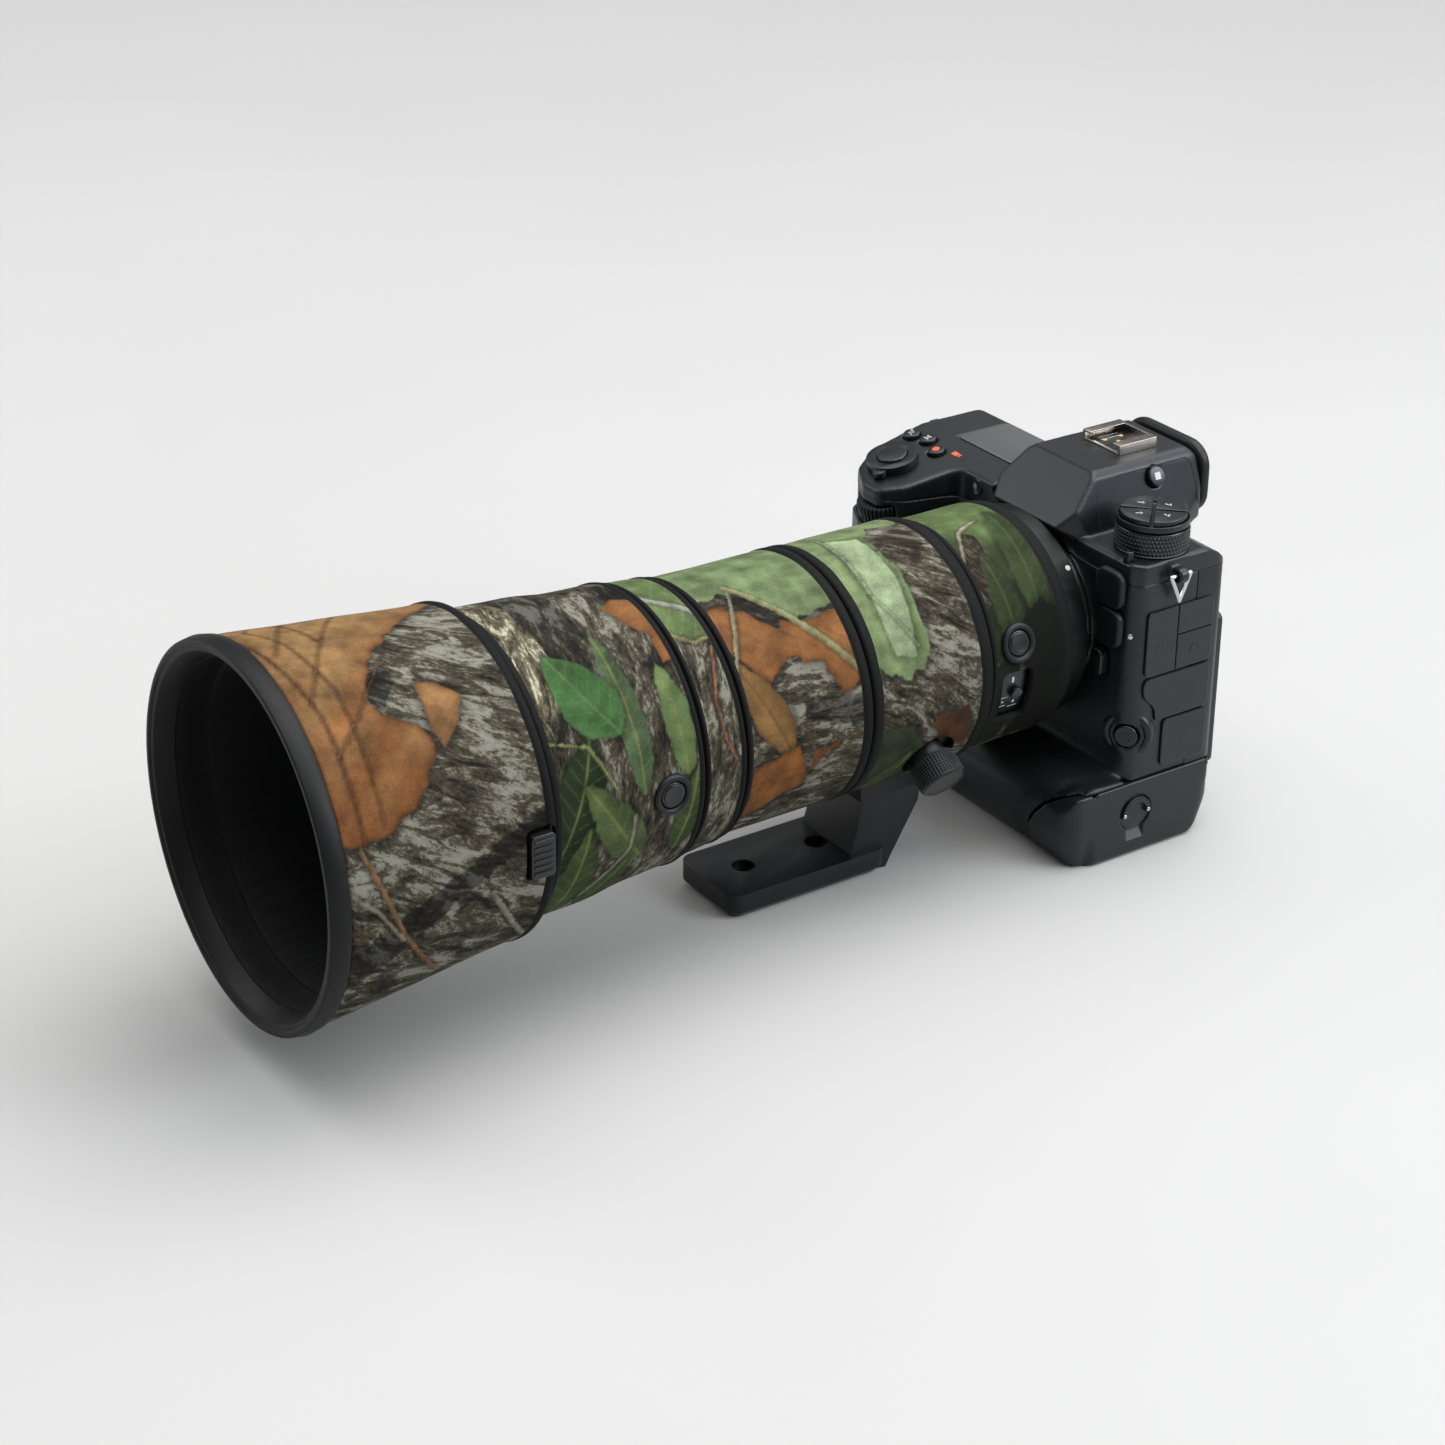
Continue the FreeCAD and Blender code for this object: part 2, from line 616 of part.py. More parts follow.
# ---------------------------------------------------------------- port covers
for label, inner, z_span in (("flash_sync_cover", 37.8, (99.2, 114.2)),
                             ("remote_socket_cover", 39.9, (83.6, 98.8))):
    keep(slab(label, (inner, 52.2), (s.casing_front - 3.4, s.casing_front), z_span, 4.5, 1))
for label, y_span, z_span in (
        ("audio_socket_cover", (-11.6, 20), (73.2, 98.6)),
        ("hdmi_socket_cover", (-11.6, 20), (54.2, 71.8)),
        ("usb_socket_cover", (-0.8, 20), (34.0, 52.8))):
    keep(slab(label, (s.port_side, s.port_side + 1.8), y_span, z_span, 2.8, 0))

# ---------------------------------------------------------------- tilting monitor
arm_y = (s.casing_back + 0.4, s.casing_back + 2.4)
arm_plate = box("monitor_arm_plate", (s.monitor_left + 6, s.monitor_right - 6), arm_y,
                (s.monitor_low + 1, s.monitor_high - 1))
arm_window = box("monitor_arm_window", (s.monitor_left + 16, s.monitor_right - 16), (20, 35),
                 (s.monitor_low + 12, s.monitor_high - 12))
keep(cut("monitor_arm", arm_plate, [arm_window]))
keep(slab("monitor_panel", (s.monitor_left, s.monitor_right),
          (s.casing_back + 2.8, s.casing_back + 9.2), (s.monitor_low, s.monitor_high), 3.0, 1))

# ---------------------------------------------------------------- lens barrel and glass
axis = s.axis_height
REAR_FN = (15.7, -60.2)
FRONT_FN = (-0.5, -214.0)
barrel = turned("lens_barrel_turning", [
    (24, -12), (24, s.flange_pos), (33, s.flange_pos), (33, -23.5), (40.6, -25.2),
    (40.6, -33.4), (s.rear_barrel_rad, -33.4), (s.rear_barrel_rad, -76),
    (s.collar_seat_rad, -76), (s.collar_seat_rad, -122), (s.focus_seat_rad, -122),
    (s.focus_seat_rad, -181), (s.control_seat_rad, -181), (s.control_seat_rad, -199.5),
    (s.front_barrel_rad, -199.5), (s.front_barrel_rad, -240), (49.2, -262.3),
    (s.hood_seat_rad, -262.4), (s.hood_seat_rad, s.barrel_front), (47.5, s.barrel_front),
    (46.0, -292), (46.0, -276), (40.0, -274), (40.0, -202), (34.0, -184), (30.0, -62),
    (18.0, -46), (18.0, -12)])
fn_holes = []
for label, (angle, along), low, high in (
        ("lens_fn_button_rear", REAR_FN, 37.0, 45.0), ("lens_fn_button_front", FRONT_FN, 43.4, 51.8)):
    way = radial(angle)
    fn_holes.append(rod(label + "_hole", out_from_axis(angle, low - 1.4, along), 5.0, 30, way))
    keep(rod(label, out_from_axis(angle, low, along), 4.7, high - low, way))
keep(cut("lens_barrel", barrel, fn_holes))
SWITCH_ANGLE = -12.0
switch_way = radial(SWITCH_ANGLE)
keep(rod("focus_mode_switch", out_from_axis(SWITCH_ANGLE, 41.4, -59.0), 2.4, 1.8, switch_way))


def glass(name, centre, half_thick, aperture, curve):
    """Biconvex element: what two equal balls share, trimmed to its round edge."""
    front = ball(name + "_front", (0, centre + curve - half_thick, axis), curve)
    back = ball(name + "_back", (0, centre - curve + half_thick, axis), curve)
    edge = rod(name + "_edge", (0, centre + 20, axis), aperture, 40, FORWARD)
    return common(name, [front, back, edge])


elements = doc.addObject("Part::Compound", "lens_elements")
elements.Links = [
    glass("front_element", -283.5, 7.0, 45.9, 180.0),
    glass("second_element", -262.0, 5.5, 39.9, 190.0),
    glass("middle_element", -150.0, 5.0, 30.0, 120.0),
    glass("rear_element", -36.0, 4.0, 17.9, 60.0),
]
keep(elements)

# ---------------------------------------------------------------- rings and their coat
keep(turned("control_ring", [
    (s.control_seat_rad + s.running_gap, -181.3), (45.2, -181.3), (45.2, -199.1),
    (s.control_seat_rad + s.running_gap, -199.1)]))
keep(turned("control_ring_coat", [
    (45.2, -181.3), (47.5, -181.3), (48.5, -186), (48.9, -195), (49.8, -199.1),
    (45.2, -199.1)]))
keep(turned("focus_ring", [
    (s.focus_seat_rad + s.running_gap, -122.4), (42.4, -122.4), (42.4, -126.8),
    (43.2, -126.8), (43.2, -180.6),
    (s.focus_seat_rad + s.running_gap, -180.6)]))
keep(turned("focus_ring_coat", [
    (43.2, -126.8), (46.2, -126.8), (46.4, -132), (46.6, -176), (47.6, -180.6),
    (43.2, -180.6)]))
front_coat_solid = turned("front_coat_solid", [
    (s.front_barrel_rad, -199.9), (50.3, -199.9), (50.4, -206), (51.4, -222), (53.2, -234),
    (54.2, -262.1), (49.2, -262.1), (s.front_barrel_rad, -240)])
keep(cut("front_coat", front_coat_solid,
         [rod("front_coat_hole", out_from_axis(FRONT_FN[0], 40, FRONT_FN[1]), 6.6, 30,
              radial(FRONT_FN[0]))]))
rear_coat_solid = turned("rear_coat_solid", [
    (s.rear_barrel_rad, -33.6), (42.8, -33.6), (44.0, -39), (44.2, -68), (44.0, -72.2),
    (s.rear_barrel_rad, -72.2)])
rear_coat_hole = rod("rear_coat_hole", out_from_axis(REAR_FN[0], 35, REAR_FN[1]), 6.6, 30,
                     radial(REAR_FN[0]))
window = slab("switch_window_cutter", (0, 70), (-67.5, -53.5), (-11.5, 11.5), 3.0, 0)
window.setExpression(".Placement.Base.z", s.axis_height.text)
window.Placement.Rotation = FreeCAD.Rotation(FreeCAD.Vector(0, 1, 0), -SWITCH_ANGLE)
keep(cut("rear_coat", rear_coat_solid, [rear_coat_hole, window]))

# ---------------------------------------------------------------- collar, foot and knob
collar_ring = turned("collar_turning", [
    (s.collar_seat_rad + s.running_gap, -76.3), (s.collar_rad, -76.3), (s.collar_rad, -121.7),
    (s.collar_seat_rad + s.running_gap, -121.7)])
knob_way = radial(SIZES["knob_angle"])
collar_block = box("collar_block", (-15.5, 15.5), (-108, -79), (31, 46))
knob_boss = rod("knob_boss", out_from_axis(SIZES["knob_angle"], 41, s.knob_pos), 6.5, 6.2,
                knob_way)
collar_bore = rod("collar_bore", (0, -60, axis), s.collar_seat_rad + s.running_gap, 80, FORWARD)
keep(cut("tripod_collar", fuse("collar_solid", [collar_ring, collar_block, knob_boss]),
         [collar_bore]))
keep(rod("collar_knob", out_from_axis(SIZES["knob_angle"], 47.6, s.knob_pos), s.knob_rad, 10.6,
         knob_way))
foot_plate = slab("foot_plate", (-s.foot_half, s.foot_half), (s.foot_front, s.foot_rear),
                  (0, s.foot_thick), 6.0, 2)
bevel_rim(foot_plate, 3.0, 0.0)
foot_neck = prism(
    "foot_neck", "YZ_Plane",
    [(-111.5, 5), (s.foot_rear + 1, 0), (-93, 4), (-81, 24), (-80, 31), (-106.5, 31),
     (-109, 18), (-111.5, s.foot_thick)],
    -15, 15)
foot_cuts = []
for index, spot in enumerate((s.foot_hole_a, s.foot_hole_b)):
    foot_cuts.append(rod("foot_thread%d" % index, (0, spot, -1), s.thread_rad, 20))
    foot_cuts.append(rod("foot_recess%d" % index, (0, spot, s.foot_thick - 2.5), 4.3, 9))
keep(cut("tripod_foot", fuse("foot_solid", [foot_plate, foot_neck]), foot_cuts))
collar_coat_solid = turned("collar_coat_solid", [
    (s.collar_rad, -72.6), (45.0, -72.6), (45.9, -77), (46.1, -121), (46.2, -126.4),
    (s.collar_rad, -126.4)])
knob_gap = rod("knob_gap", out_from_axis(SIZES["knob_angle"], 38, s.knob_pos), 10.4, 30, knob_way)
foot_gap = box("foot_gap", (-19, 19), (-112, -74.5), (20, 52))
keep(cut("collar_coat", collar_coat_solid, [knob_gap, foot_gap]))

# ---------------------------------------------------------------- hood
hood_solid = turned("hood_turning", [
    (s.hood_seat_rad + s.running_gap, s.hood_rear), (54.6, s.hood_rear), (62.4, -342),
    (58.6, -342), (58.2, -331), (56.4, -331), (53.4, -299),
    (s.hood_seat_rad + s.running_gap, -299)])
lock_window = box("hood_lock_window", (45, 70), (-274.3, -264.7), (71.4, 87.6))
keep(cut("hood_shell", hood_solid, [lock_window]))
hood_coat_solid = turned("hood_coat_turning", [
    (54.6, s.hood_rear), (57.8, s.hood_rear), (59.0, -266), (58.6, -270), (65.2, -338),
    (65.4, -342), (62.4, -342)])
coat_window = box("hood_coat_window", (45, 70), (-275.2, -263.9), (70.4, 88.6))
keep(cut("hood_coat", hood_coat_solid, [coat_window]))
keep(turned("hood_rim", [
    (58.6, -342), (66.2, -342), (66.9, -345.5), (66.2, s.hood_front), (64.4, s.hood_front),
    (63.9, -348.7), (62.3, -348.7)]))
keep(slab("hood_lock_button", (53.0, 60.2), (-274, -265), (71.7, 87.3), 1.5, 0))

# ---------------------------------------------------------------- checks and export
doc.recompute()
for item in doc.Objects:
    if "Invalid" in item.State or "Error" in item.State:
        raise RuntimeError("%s did not build: %s" % (item.Name, item.State))
for item in nodes:
    if item.Shape.isNull() or not item.Shape.isValid() or item.Shape.Volume <= 0:
        raise RuntimeError("%s has no valid shape" % item.Label)

os.makedirs("parts", exist_ok=True)
for item in nodes:
    item.Shape.exportStep("parts/%s.step" % item.Label)
    print("%-24s %10.1f mm3  %d solids" % (item.Label, item.Shape.Volume, len(item.Shape.Solids)))
print(len(nodes), "sub-parts")
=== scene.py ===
"""Looks for the mirrorless camera with its coated telephoto lens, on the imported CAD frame.

Lengths below are in millimetres and angles in degrees unless a line says otherwise.
"""
import json
import math
import bmesh
import bpy
import numpy as np
from mathutils import Matrix, Vector

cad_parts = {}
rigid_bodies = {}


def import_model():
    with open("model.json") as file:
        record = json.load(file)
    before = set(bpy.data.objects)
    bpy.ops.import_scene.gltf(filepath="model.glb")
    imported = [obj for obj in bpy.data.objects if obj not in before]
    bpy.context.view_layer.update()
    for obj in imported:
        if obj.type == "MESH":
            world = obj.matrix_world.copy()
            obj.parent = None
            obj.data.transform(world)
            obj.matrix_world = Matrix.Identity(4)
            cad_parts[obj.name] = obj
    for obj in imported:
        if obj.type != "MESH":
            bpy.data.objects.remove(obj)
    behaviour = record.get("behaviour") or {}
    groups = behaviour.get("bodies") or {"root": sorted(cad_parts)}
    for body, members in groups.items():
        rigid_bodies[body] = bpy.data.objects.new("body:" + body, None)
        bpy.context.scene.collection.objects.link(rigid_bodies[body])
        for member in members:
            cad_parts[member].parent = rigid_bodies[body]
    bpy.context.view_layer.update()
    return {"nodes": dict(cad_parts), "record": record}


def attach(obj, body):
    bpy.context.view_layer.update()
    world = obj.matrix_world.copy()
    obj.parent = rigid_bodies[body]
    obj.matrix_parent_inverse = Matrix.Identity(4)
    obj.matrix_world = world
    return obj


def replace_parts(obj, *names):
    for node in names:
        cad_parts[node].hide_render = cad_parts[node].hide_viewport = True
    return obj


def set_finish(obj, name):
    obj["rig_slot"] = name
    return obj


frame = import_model()
MM = 0.001
AXIS = 82.0  # height of the lens axis
TURN = 2 * math.pi
X, Y, Z = (1, 0, 0), (0, 1, 0), (0, 0, 1)
NODE_BODY = {n: b for b, ns in frame["record"]["behaviour"]["bodies"].items() for n in ns}
FINISH_SLOT = {}  # finish name: the record's material slot


def cos_sin(degrees):
    return math.cos(math.radians(degrees)), math.sin(math.radians(degrees))


def add(name, data):
    """A new object in the scene."""
    item = bpy.data.objects.new(name, data)
    bpy.context.scene.collection.objects.link(item)
    return item


def axes(origin, x, y, z):
    """Matrix with the given directions as its axes."""
    return Matrix.Translation(origin) @ Matrix((x, y, z)).transposed().to_4x4()


# ------------------------------------------------------------------ camera
EYE = (0.8234, -0.7297, 0.5847)  # in metres
(az_c, az_s), (el_c, el_s), (roll_c, roll_s) = cos_sin(55.33), cos_sin(22.55), cos_sin(0.86)
right = Vector((az_c, az_s, 0))
back = Vector((az_s * el_c, -az_c * el_c, el_s))
up = back.cross(right)
camera = add("view_camera", bpy.data.cameras.new("view_camera"))
camera.matrix_world = axes(EYE, right * roll_c + up * roll_s, up * roll_c - right * roll_s, back)
camera.data.lens, camera.data.sensor_width = 78.815, 36.0
camera.data.shift_x, camera.data.shift_y = -0.0007, -0.1759
camera.data.clip_start = 0.02
bpy.context.scene.camera = camera


# ------------------------------------------------------------------ materials
class Tree:
    """A short way to write node materials."""

    def __init__(self, name):
        self.material = bpy.data.materials.new(name)
        self.material.use_nodes = True
        self.nodes = self.material.node_tree.nodes
        self.shader = self.nodes["Principled BSDF"]

    def put(self, socket, value):
        """Link an output to a socket, or set the socket to a number or colour."""
        if isinstance(value, bpy.types.NodeSocket):
            self.material.node_tree.links.new(value, socket)
        elif socket.type == "RGBA":
            socket.default_value = (*value, 1.0)
        else:
            socket.default_value = value

    def feed(self, **values):
        """Put values into the shader's sockets, written with _ for a space."""
        for key, value in values.items():
            self.put(self.shader.inputs[key.replace("_", " ")], value)

    def node(self, kind, **values):
        item = self.nodes.new(kind)
        for key, value in values.items():
            if key in item.inputs:
                self.put(item.inputs[key], value)
            else:
                setattr(item, key, value)
        return item

    def math(self, operation, a, b):
        item = self.node("ShaderNodeMath", operation=operation)
        self.put(item.inputs[0], a)
        self.put(item.inputs[1], b)
        return item.outputs[0]

    def mix(self, factor, a, b, blend="MIX"):
        item = self.node("ShaderNodeMix", data_type="RGBA", blend_type=blend)
        for index, value in ((0, factor), (6, a), (7, b)):
            self.put(item.inputs[index], value)
        return item.outputs[2]

    def ramp(self, factor, *stops):
        """Ramp through (place, colour or grey) stops."""
        item = self.node("ShaderNodeValToRGB")
        elements = item.color_ramp.elements
        while len(elements) < len(stops):
            elements.new(0.5)
        for element, (place, colour) in zip(elements, stops):
            element.position = place
            element.color = (*(colour if isinstance(colour, tuple) else (colour,) * 3), 1.0)
        self.put(item.inputs[0], factor)
        return item.outputs[0]

    def noise(self, vector, scale, detail=4.0, rough=0.55, distort=0.0):
        return self.node("ShaderNodeTexNoise", Vector=vector, Scale=scale, Detail=detail,
                         Roughness=rough, Distortion=distort).outputs["Fac"]

    def bump(self, height, strength, distance):
        item = self.node("ShaderNodeBump", Height=height, Strength=strength, Distance=distance)
        self.feed(Normal=item.outputs[0])

    def place(self):
        return self.node("ShaderNodeTexCoord").outputs["Object"]

    def attribute(self, name):
        return self.node("ShaderNodeAttribute", attribute_name=name).outputs


COOL = (0.89, 0.945, 1.0)


def surface(name, slot, dark, light, rough, grain=2600.0, bump=0.25, specular=0.5,
            tint=(1.0, 1.0, 1.0), metal=0.0, leather=False):
    """Moulded or painted finish: mottled colour, uneven gloss and a fine grain."""
    tree = Tree(name)
    FINISH_SLOT[name] = slot
    place = tree.place()
    broad = tree.noise(place, 55.0, 5.0, 0.6)
    fine = tree.noise(place, grain, 3.0, 0.6)
    if leather:
        cells = tree.node("ShaderNodeTexVoronoi", Vector=place, Scale=grain * 0.32,
                          feature="SMOOTH_F1")
        tree.bump(tree.math("SMOOTH_MIN", cells.outputs["Distance"], 0.42), bump, 0.0002)
    else:
        tree.bump(fine, bump, 0.00004)
    tree.feed(Base_Color=tree.ramp(broad, (0.3, dark), (0.72, light)),
              Roughness=tree.ramp(fine, (0.3, rough[0]), (0.7, rough[1])),
              Metallic=metal, Specular_IOR_Level=specular, Specular_Tint=tint)
    return tree.material


CASING = surface("casing_paint", "black_casing", (0.0036, 0.0041, 0.0052),
                 (0.0062, 0.0069, 0.0085), (0.3, 0.46), 3400.0, 0.4, 0.44, COOL)
CASING_SMOOTH = surface("casing_satin", "black_casing", (0.004, 0.0042, 0.005),
                        (0.0065, 0.0068, 0.008), (0.24, 0.34), 3000.0, 0.12, 0.45, COOL)
LEATHER = surface("grip_leatherette", "black_rubber", (0.0042, 0.0045, 0.0052),
                  (0.0075, 0.0079, 0.009), (0.36, 0.52), 2200.0, 0.9, 0.45, COOL, leather=True)
RUBBER = surface("soft_rubber", "black_rubber", (0.003, 0.0032, 0.0038),
                 (0.0058, 0.0062, 0.007), (0.38, 0.52), 1800.0, 0.2, 0.32, COOL)
CONTROL = surface("control_plastic", "dark_controls", (0.004, 0.0042, 0.005),
                  (0.007, 0.0074, 0.0085), (0.24, 0.36), 2400.0, 0.12, 0.48, COOL)
STEEL = surface("plated_steel", "mount_steel", (0.5, 0.5, 0.5), (0.64, 0.63, 0.62),
                (0.16, 0.28), 900.0, 0.08, metal=1.0)
SHOE = surface("shoe_nickel", "hot_shoe_metal", (0.3, 0.27, 0.24), (0.42, 0.39, 0.36),
               (0.18, 0.28), 300.0, 0.02, metal=1.0)
GOLD = surface("contact_gold", "hot_shoe_metal", (0.5, 0.34, 0.13), (0.6, 0.42, 0.18),
               (0.2, 0.3), metal=1.0)
ANODISED = surface("anodised_grey", "lens_metal", (0.0045, 0.0048, 0.0056),
                   (0.0075, 0.008, 0.0092), (0.3, 0.42), 4200.0, 0.2, 0.32, metal=0.05)
BARREL = surface("barrel_black", "lens_metal", (0.0014, 0.0015, 0.0018),
                 (0.0028, 0.003, 0.0034), (0.34, 0.48), 2500.0, 0.15, 0.3)
FLOCK = surface("hood_inside", "lens_plastic", (0.0018, 0.0019, 0.0023),
                (0.0034, 0.0036, 0.0042), (0.6, 0.78), 5200.0, 0.3, 0.3)
RIM = surface("hood_rubber", "black_rubber", (0.0012, 0.0013, 0.0015),
              (0.0024, 0.0025, 0.0029), (0.42, 0.56), 1500.0, 0.15, 0.22)
WHITE = surface("mark_white", "dark_controls", (0.42, 0.43, 0.44), (0.5, 0.5, 0.5), (0.5, 0.6))
ORANGE = surface("mark_orange", "dark_controls", (0.5, 0.075, 0.015), (0.6, 0.11, 0.03),
                 (0.45, 0.55))
# near-black copy of the black casing: painted shade in the hump's seam gap and in the microphone
# slot's holes
GAP_SHADE = surface("painted_gap_shade", "black_casing", (0.001, 0.001, 0.0012),
                  (0.002, 0.002, 0.0024), (0.6, 0.8))
BOARD = surface("circuit_green", "electronics", (0.006, 0.035, 0.018), (0.012, 0.06, 0.03),
                (0.4, 0.5))
BATTERY = surface("battery_case", "battery_plastic", (0.012, 0.012, 0.013),
                  (0.02, 0.02, 0.022), (0.4, 0.55))
# lighter copy of the black casing: painted highlight where the moulded door icons catch the light
RIDGE_HIGHLIGHT = surface("painted_ridge_highlight", "black_casing", (0.012, 0.0125, 0.0135),
                 (0.018, 0.0185, 0.02), (0.4, 0.5))
# lighter copy of the black casing: painted highlight on the battery door's slanted ramp
RAMP_HIGHLIGHT = surface("painted_ramp_highlight", "black_casing", (0.035, 0.037, 0.04), (0.05, 0.052, 0.056),
              (0.3, 0.4))


def glass_material(name, slot, tint, rough, deep):
    """Dark coated glass: the depth shows as a faint tint under a glossy face."""
    tree = Tree(name)
    FINISH_SLOT[name] = slot
    cloud = tree.noise(tree.place(), 30.0, 3.0, 0.5)
    tree.feed(Base_Color=tree.ramp(cloud, (0.25, deep), (0.8, tint)), Roughness=rough,
              Coat_Weight=1.0, Coat_Roughness=0.02, Specular_IOR_Level=0.7)
    return tree.material


LENS_GLASS = glass_material("coated_glass", "lens_glass", (0.018, 0.03, 0.035), 0.04,
                            (0.004, 0.008, 0.012))
DISPLAY = glass_material("display_window", "display_glass", (0.062, 0.064, 0.066), 0.16,
                         (0.045, 0.046, 0.048))
SCREEN = glass_material("monitor_glass", "display_glass", (0.008, 0.0085, 0.01), 0.06,
                        (0.004, 0.0045, 0.005))


def camo_material(name, turn):
    """Printed jersey: leaves come from the painted attribute, bark from stretched noise."""
    tree = Tree(name)
    cloth = tree.attribute("cloth")["Vector"]
    paint = tree.attribute("paint")
    ground = tree.attribute("ground")["Color"]
    grain = tree.node("ShaderNodeMapping", Vector=cloth, Rotation=(0, 0, math.radians(turn)))

    def stretched(along, across):
        return tree.node("ShaderNodeMapping", Vector=grain.outputs[0],
                         Scale=(along, across, 1.0)).outputs[0]

    def weighted(value, weight, level=None):
        """A noise times its weight, on top of a level."""
        if level is None:
            return tree.math("MULTIPLY", value, weight)
        return tree.math("ADD", level, weighted(tree.math("SUBTRACT", value, 0.5), weight))

    zones = tree.noise(cloth, 0.045, 3.0, 0.5)
    plates = tree.noise(stretched(0.06, 0.19), 1.0, 4.0, 0.62, 1.1)
    flakes = tree.noise(stretched(0.42, 0.75), 1.0, 6.0, 0.75, 0.4)
    fine = tree.noise(cloth, 2.6, 3.0, 0.7)
    level = tree.math("ADD", weighted(plates, 0.62), weighted(flakes, 0.38))
    level = weighted(fine, 0.12, weighted(zones, 0.3, level))
    bark = tree.ramp(level, (0.38, (0.0045, 0.0042, 0.0032)), (0.435, (0.021, 0.0175, 0.0115)),
                     (0.485, (0.042, 0.0355, 0.023)), (0.527, (0.058, 0.052, 0.035)),
                     (0.545, (0.125, 0.12, 0.092)), (0.62, (0.185, 0.18, 0.15)))
    bark = tree.mix(1.0, bark, ground, "MULTIPLY")
    mottle = tree.math("ADD", weighted(tree.noise(cloth, 0.11, 5.0, 0.6), 0.6),
                       weighted(tree.noise(cloth, 1.1, 5.0, 0.7), 0.4))
    leaf = tree.mix(1.0, paint["Color"], tree.ramp(mottle, (0.32, 0.17), (0.66, 0.5)), "MULTIPLY")
    weave = tree.node("ShaderNodeTexVoronoi", Vector=cloth, Scale=1.7, feature="F1")
    tree.bump(weave.outputs["Distance"], 0.35, 0.00018)
    tree.feed(Base_Color=tree.mix(paint["Alpha"], bark, leaf),
              Roughness=tree.ramp(fine, (0.3, 0.68), (0.7, 0.86)), Specular_IOR_Level=0.13)
    return tree.material


def binding_material():
    """Black elastic edge binding, ribbed along its length."""
    tree = Tree("edge_binding")
    cloth = tree.attribute("cloth")["Vector"]
    rib = tree.node("ShaderNodeTexWave", Vector=cloth, Scale=0.55, Distortion=0.6, Detail=2.0,
                    bands_direction="X")
    mottle = tree.noise(cloth, 0.8, 5.0, 0.6)
    tree.bump(rib.outputs["Fac"], 0.35, 0.00012)
    tree.feed(Base_Color=tree.ramp(mottle, (0.3, (0.002, 0.0021, 0.0022)),
                                   (0.75, (0.0046, 0.0048, 0.005))),
              Roughness=tree.ramp(mottle, (0.3, 0.6), (0.7, 0.82)), Specular_IOR_Level=0.15)
    return tree.material


BINDING = binding_material()


# ------------------------------------------------------------------ mesh helpers
def read(items, key, wide=3, kind=float):
    """One row of numbers for each vertex, edge or face."""
    rows = np.empty(len(items) * wide, kind)
    items.foreach_get(key, rows)
    return rows.reshape(-1, wide)


def smooth_faces(mesh):
    mesh.polygons.foreach_set("use_smooth", [True] * len(mesh.polygons))


def set_materials(mesh, materials):
    while len(mesh.materials) < len(materials):
        mesh.materials.append(None)
    for slot, material in enumerate(materials):
        mesh.materials[slot] = material


def link_mesh(name, mesh, materials, smooth=True):
    item = add(name, mesh)
    set_materials(mesh, materials)
    if smooth:
        smooth_faces(mesh)
    return item


def from_lists(name, points, faces, materials, smooth=True):
    mesh = bpy.data.meshes.new(name)
    mesh.from_pydata([tuple(np.asarray(p, float) * MM) for p in points], [], faces)
    mesh.validate()
    return link_mesh(name, mesh, materials, smooth)


def apply_modifiers(item):
    """Swap the mesh for what its modifiers make of it."""
    graph = bpy.context.evaluated_depsgraph_get()
    mesh = bpy.data.meshes.new_from_object(item.evaluated_get(graph))
    old = item.data
    item.modifiers.clear()
    item.data = mesh
    bpy.data.meshes.remove(old)


def clean_copy(*nodes):
    """Nodes' meshes in one, with shared corners welded and flat faces joined up."""
    mesh = bmesh.new()
    for node in nodes:
        mesh.from_mesh(frame["nodes"][node].data)
    bmesh.ops.remove_doubles(mesh, verts=mesh.verts, dist=0.000004)
    bmesh.ops.dissolve_limit(mesh, angle_limit=math.radians(0.6), verts=mesh.verts,
                             edges=mesh.edges)
    result = bpy.data.meshes.new(nodes[0] + "_look")
    mesh.to_mesh(result)
    mesh.free()
    return result


def stand_in(item, *nodes):
    """The piece takes the place of nodes of one body and moves with it."""
    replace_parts(item, *nodes)
    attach(item, NODE_BODY[nodes[0]])


def ease_edges(item, width, segments, angle=30.0, harden=False):
    """Round the edges that turn by more than angle."""
    if width:
        edge = item.modifiers.new("ease", "BEVEL")
        edge.width, edge.segments = width * MM, segments
        edge.limit_method, edge.angle_limit = "ANGLE", math.radians(angle)
        edge.harden_normals = harden
        apply_modifiers(item)


def dress(node, material, bevel=0.35, segments=3):
    """Replace a hard CAD node by its own shape with eased edges and a real finish."""
    item = link_mesh(node + "_look", clean_copy(node), [material])
    ease_edges(item, bevel, segments, 28.0, True)
    smooth_faces(item.data)
    stand_in(item, node)


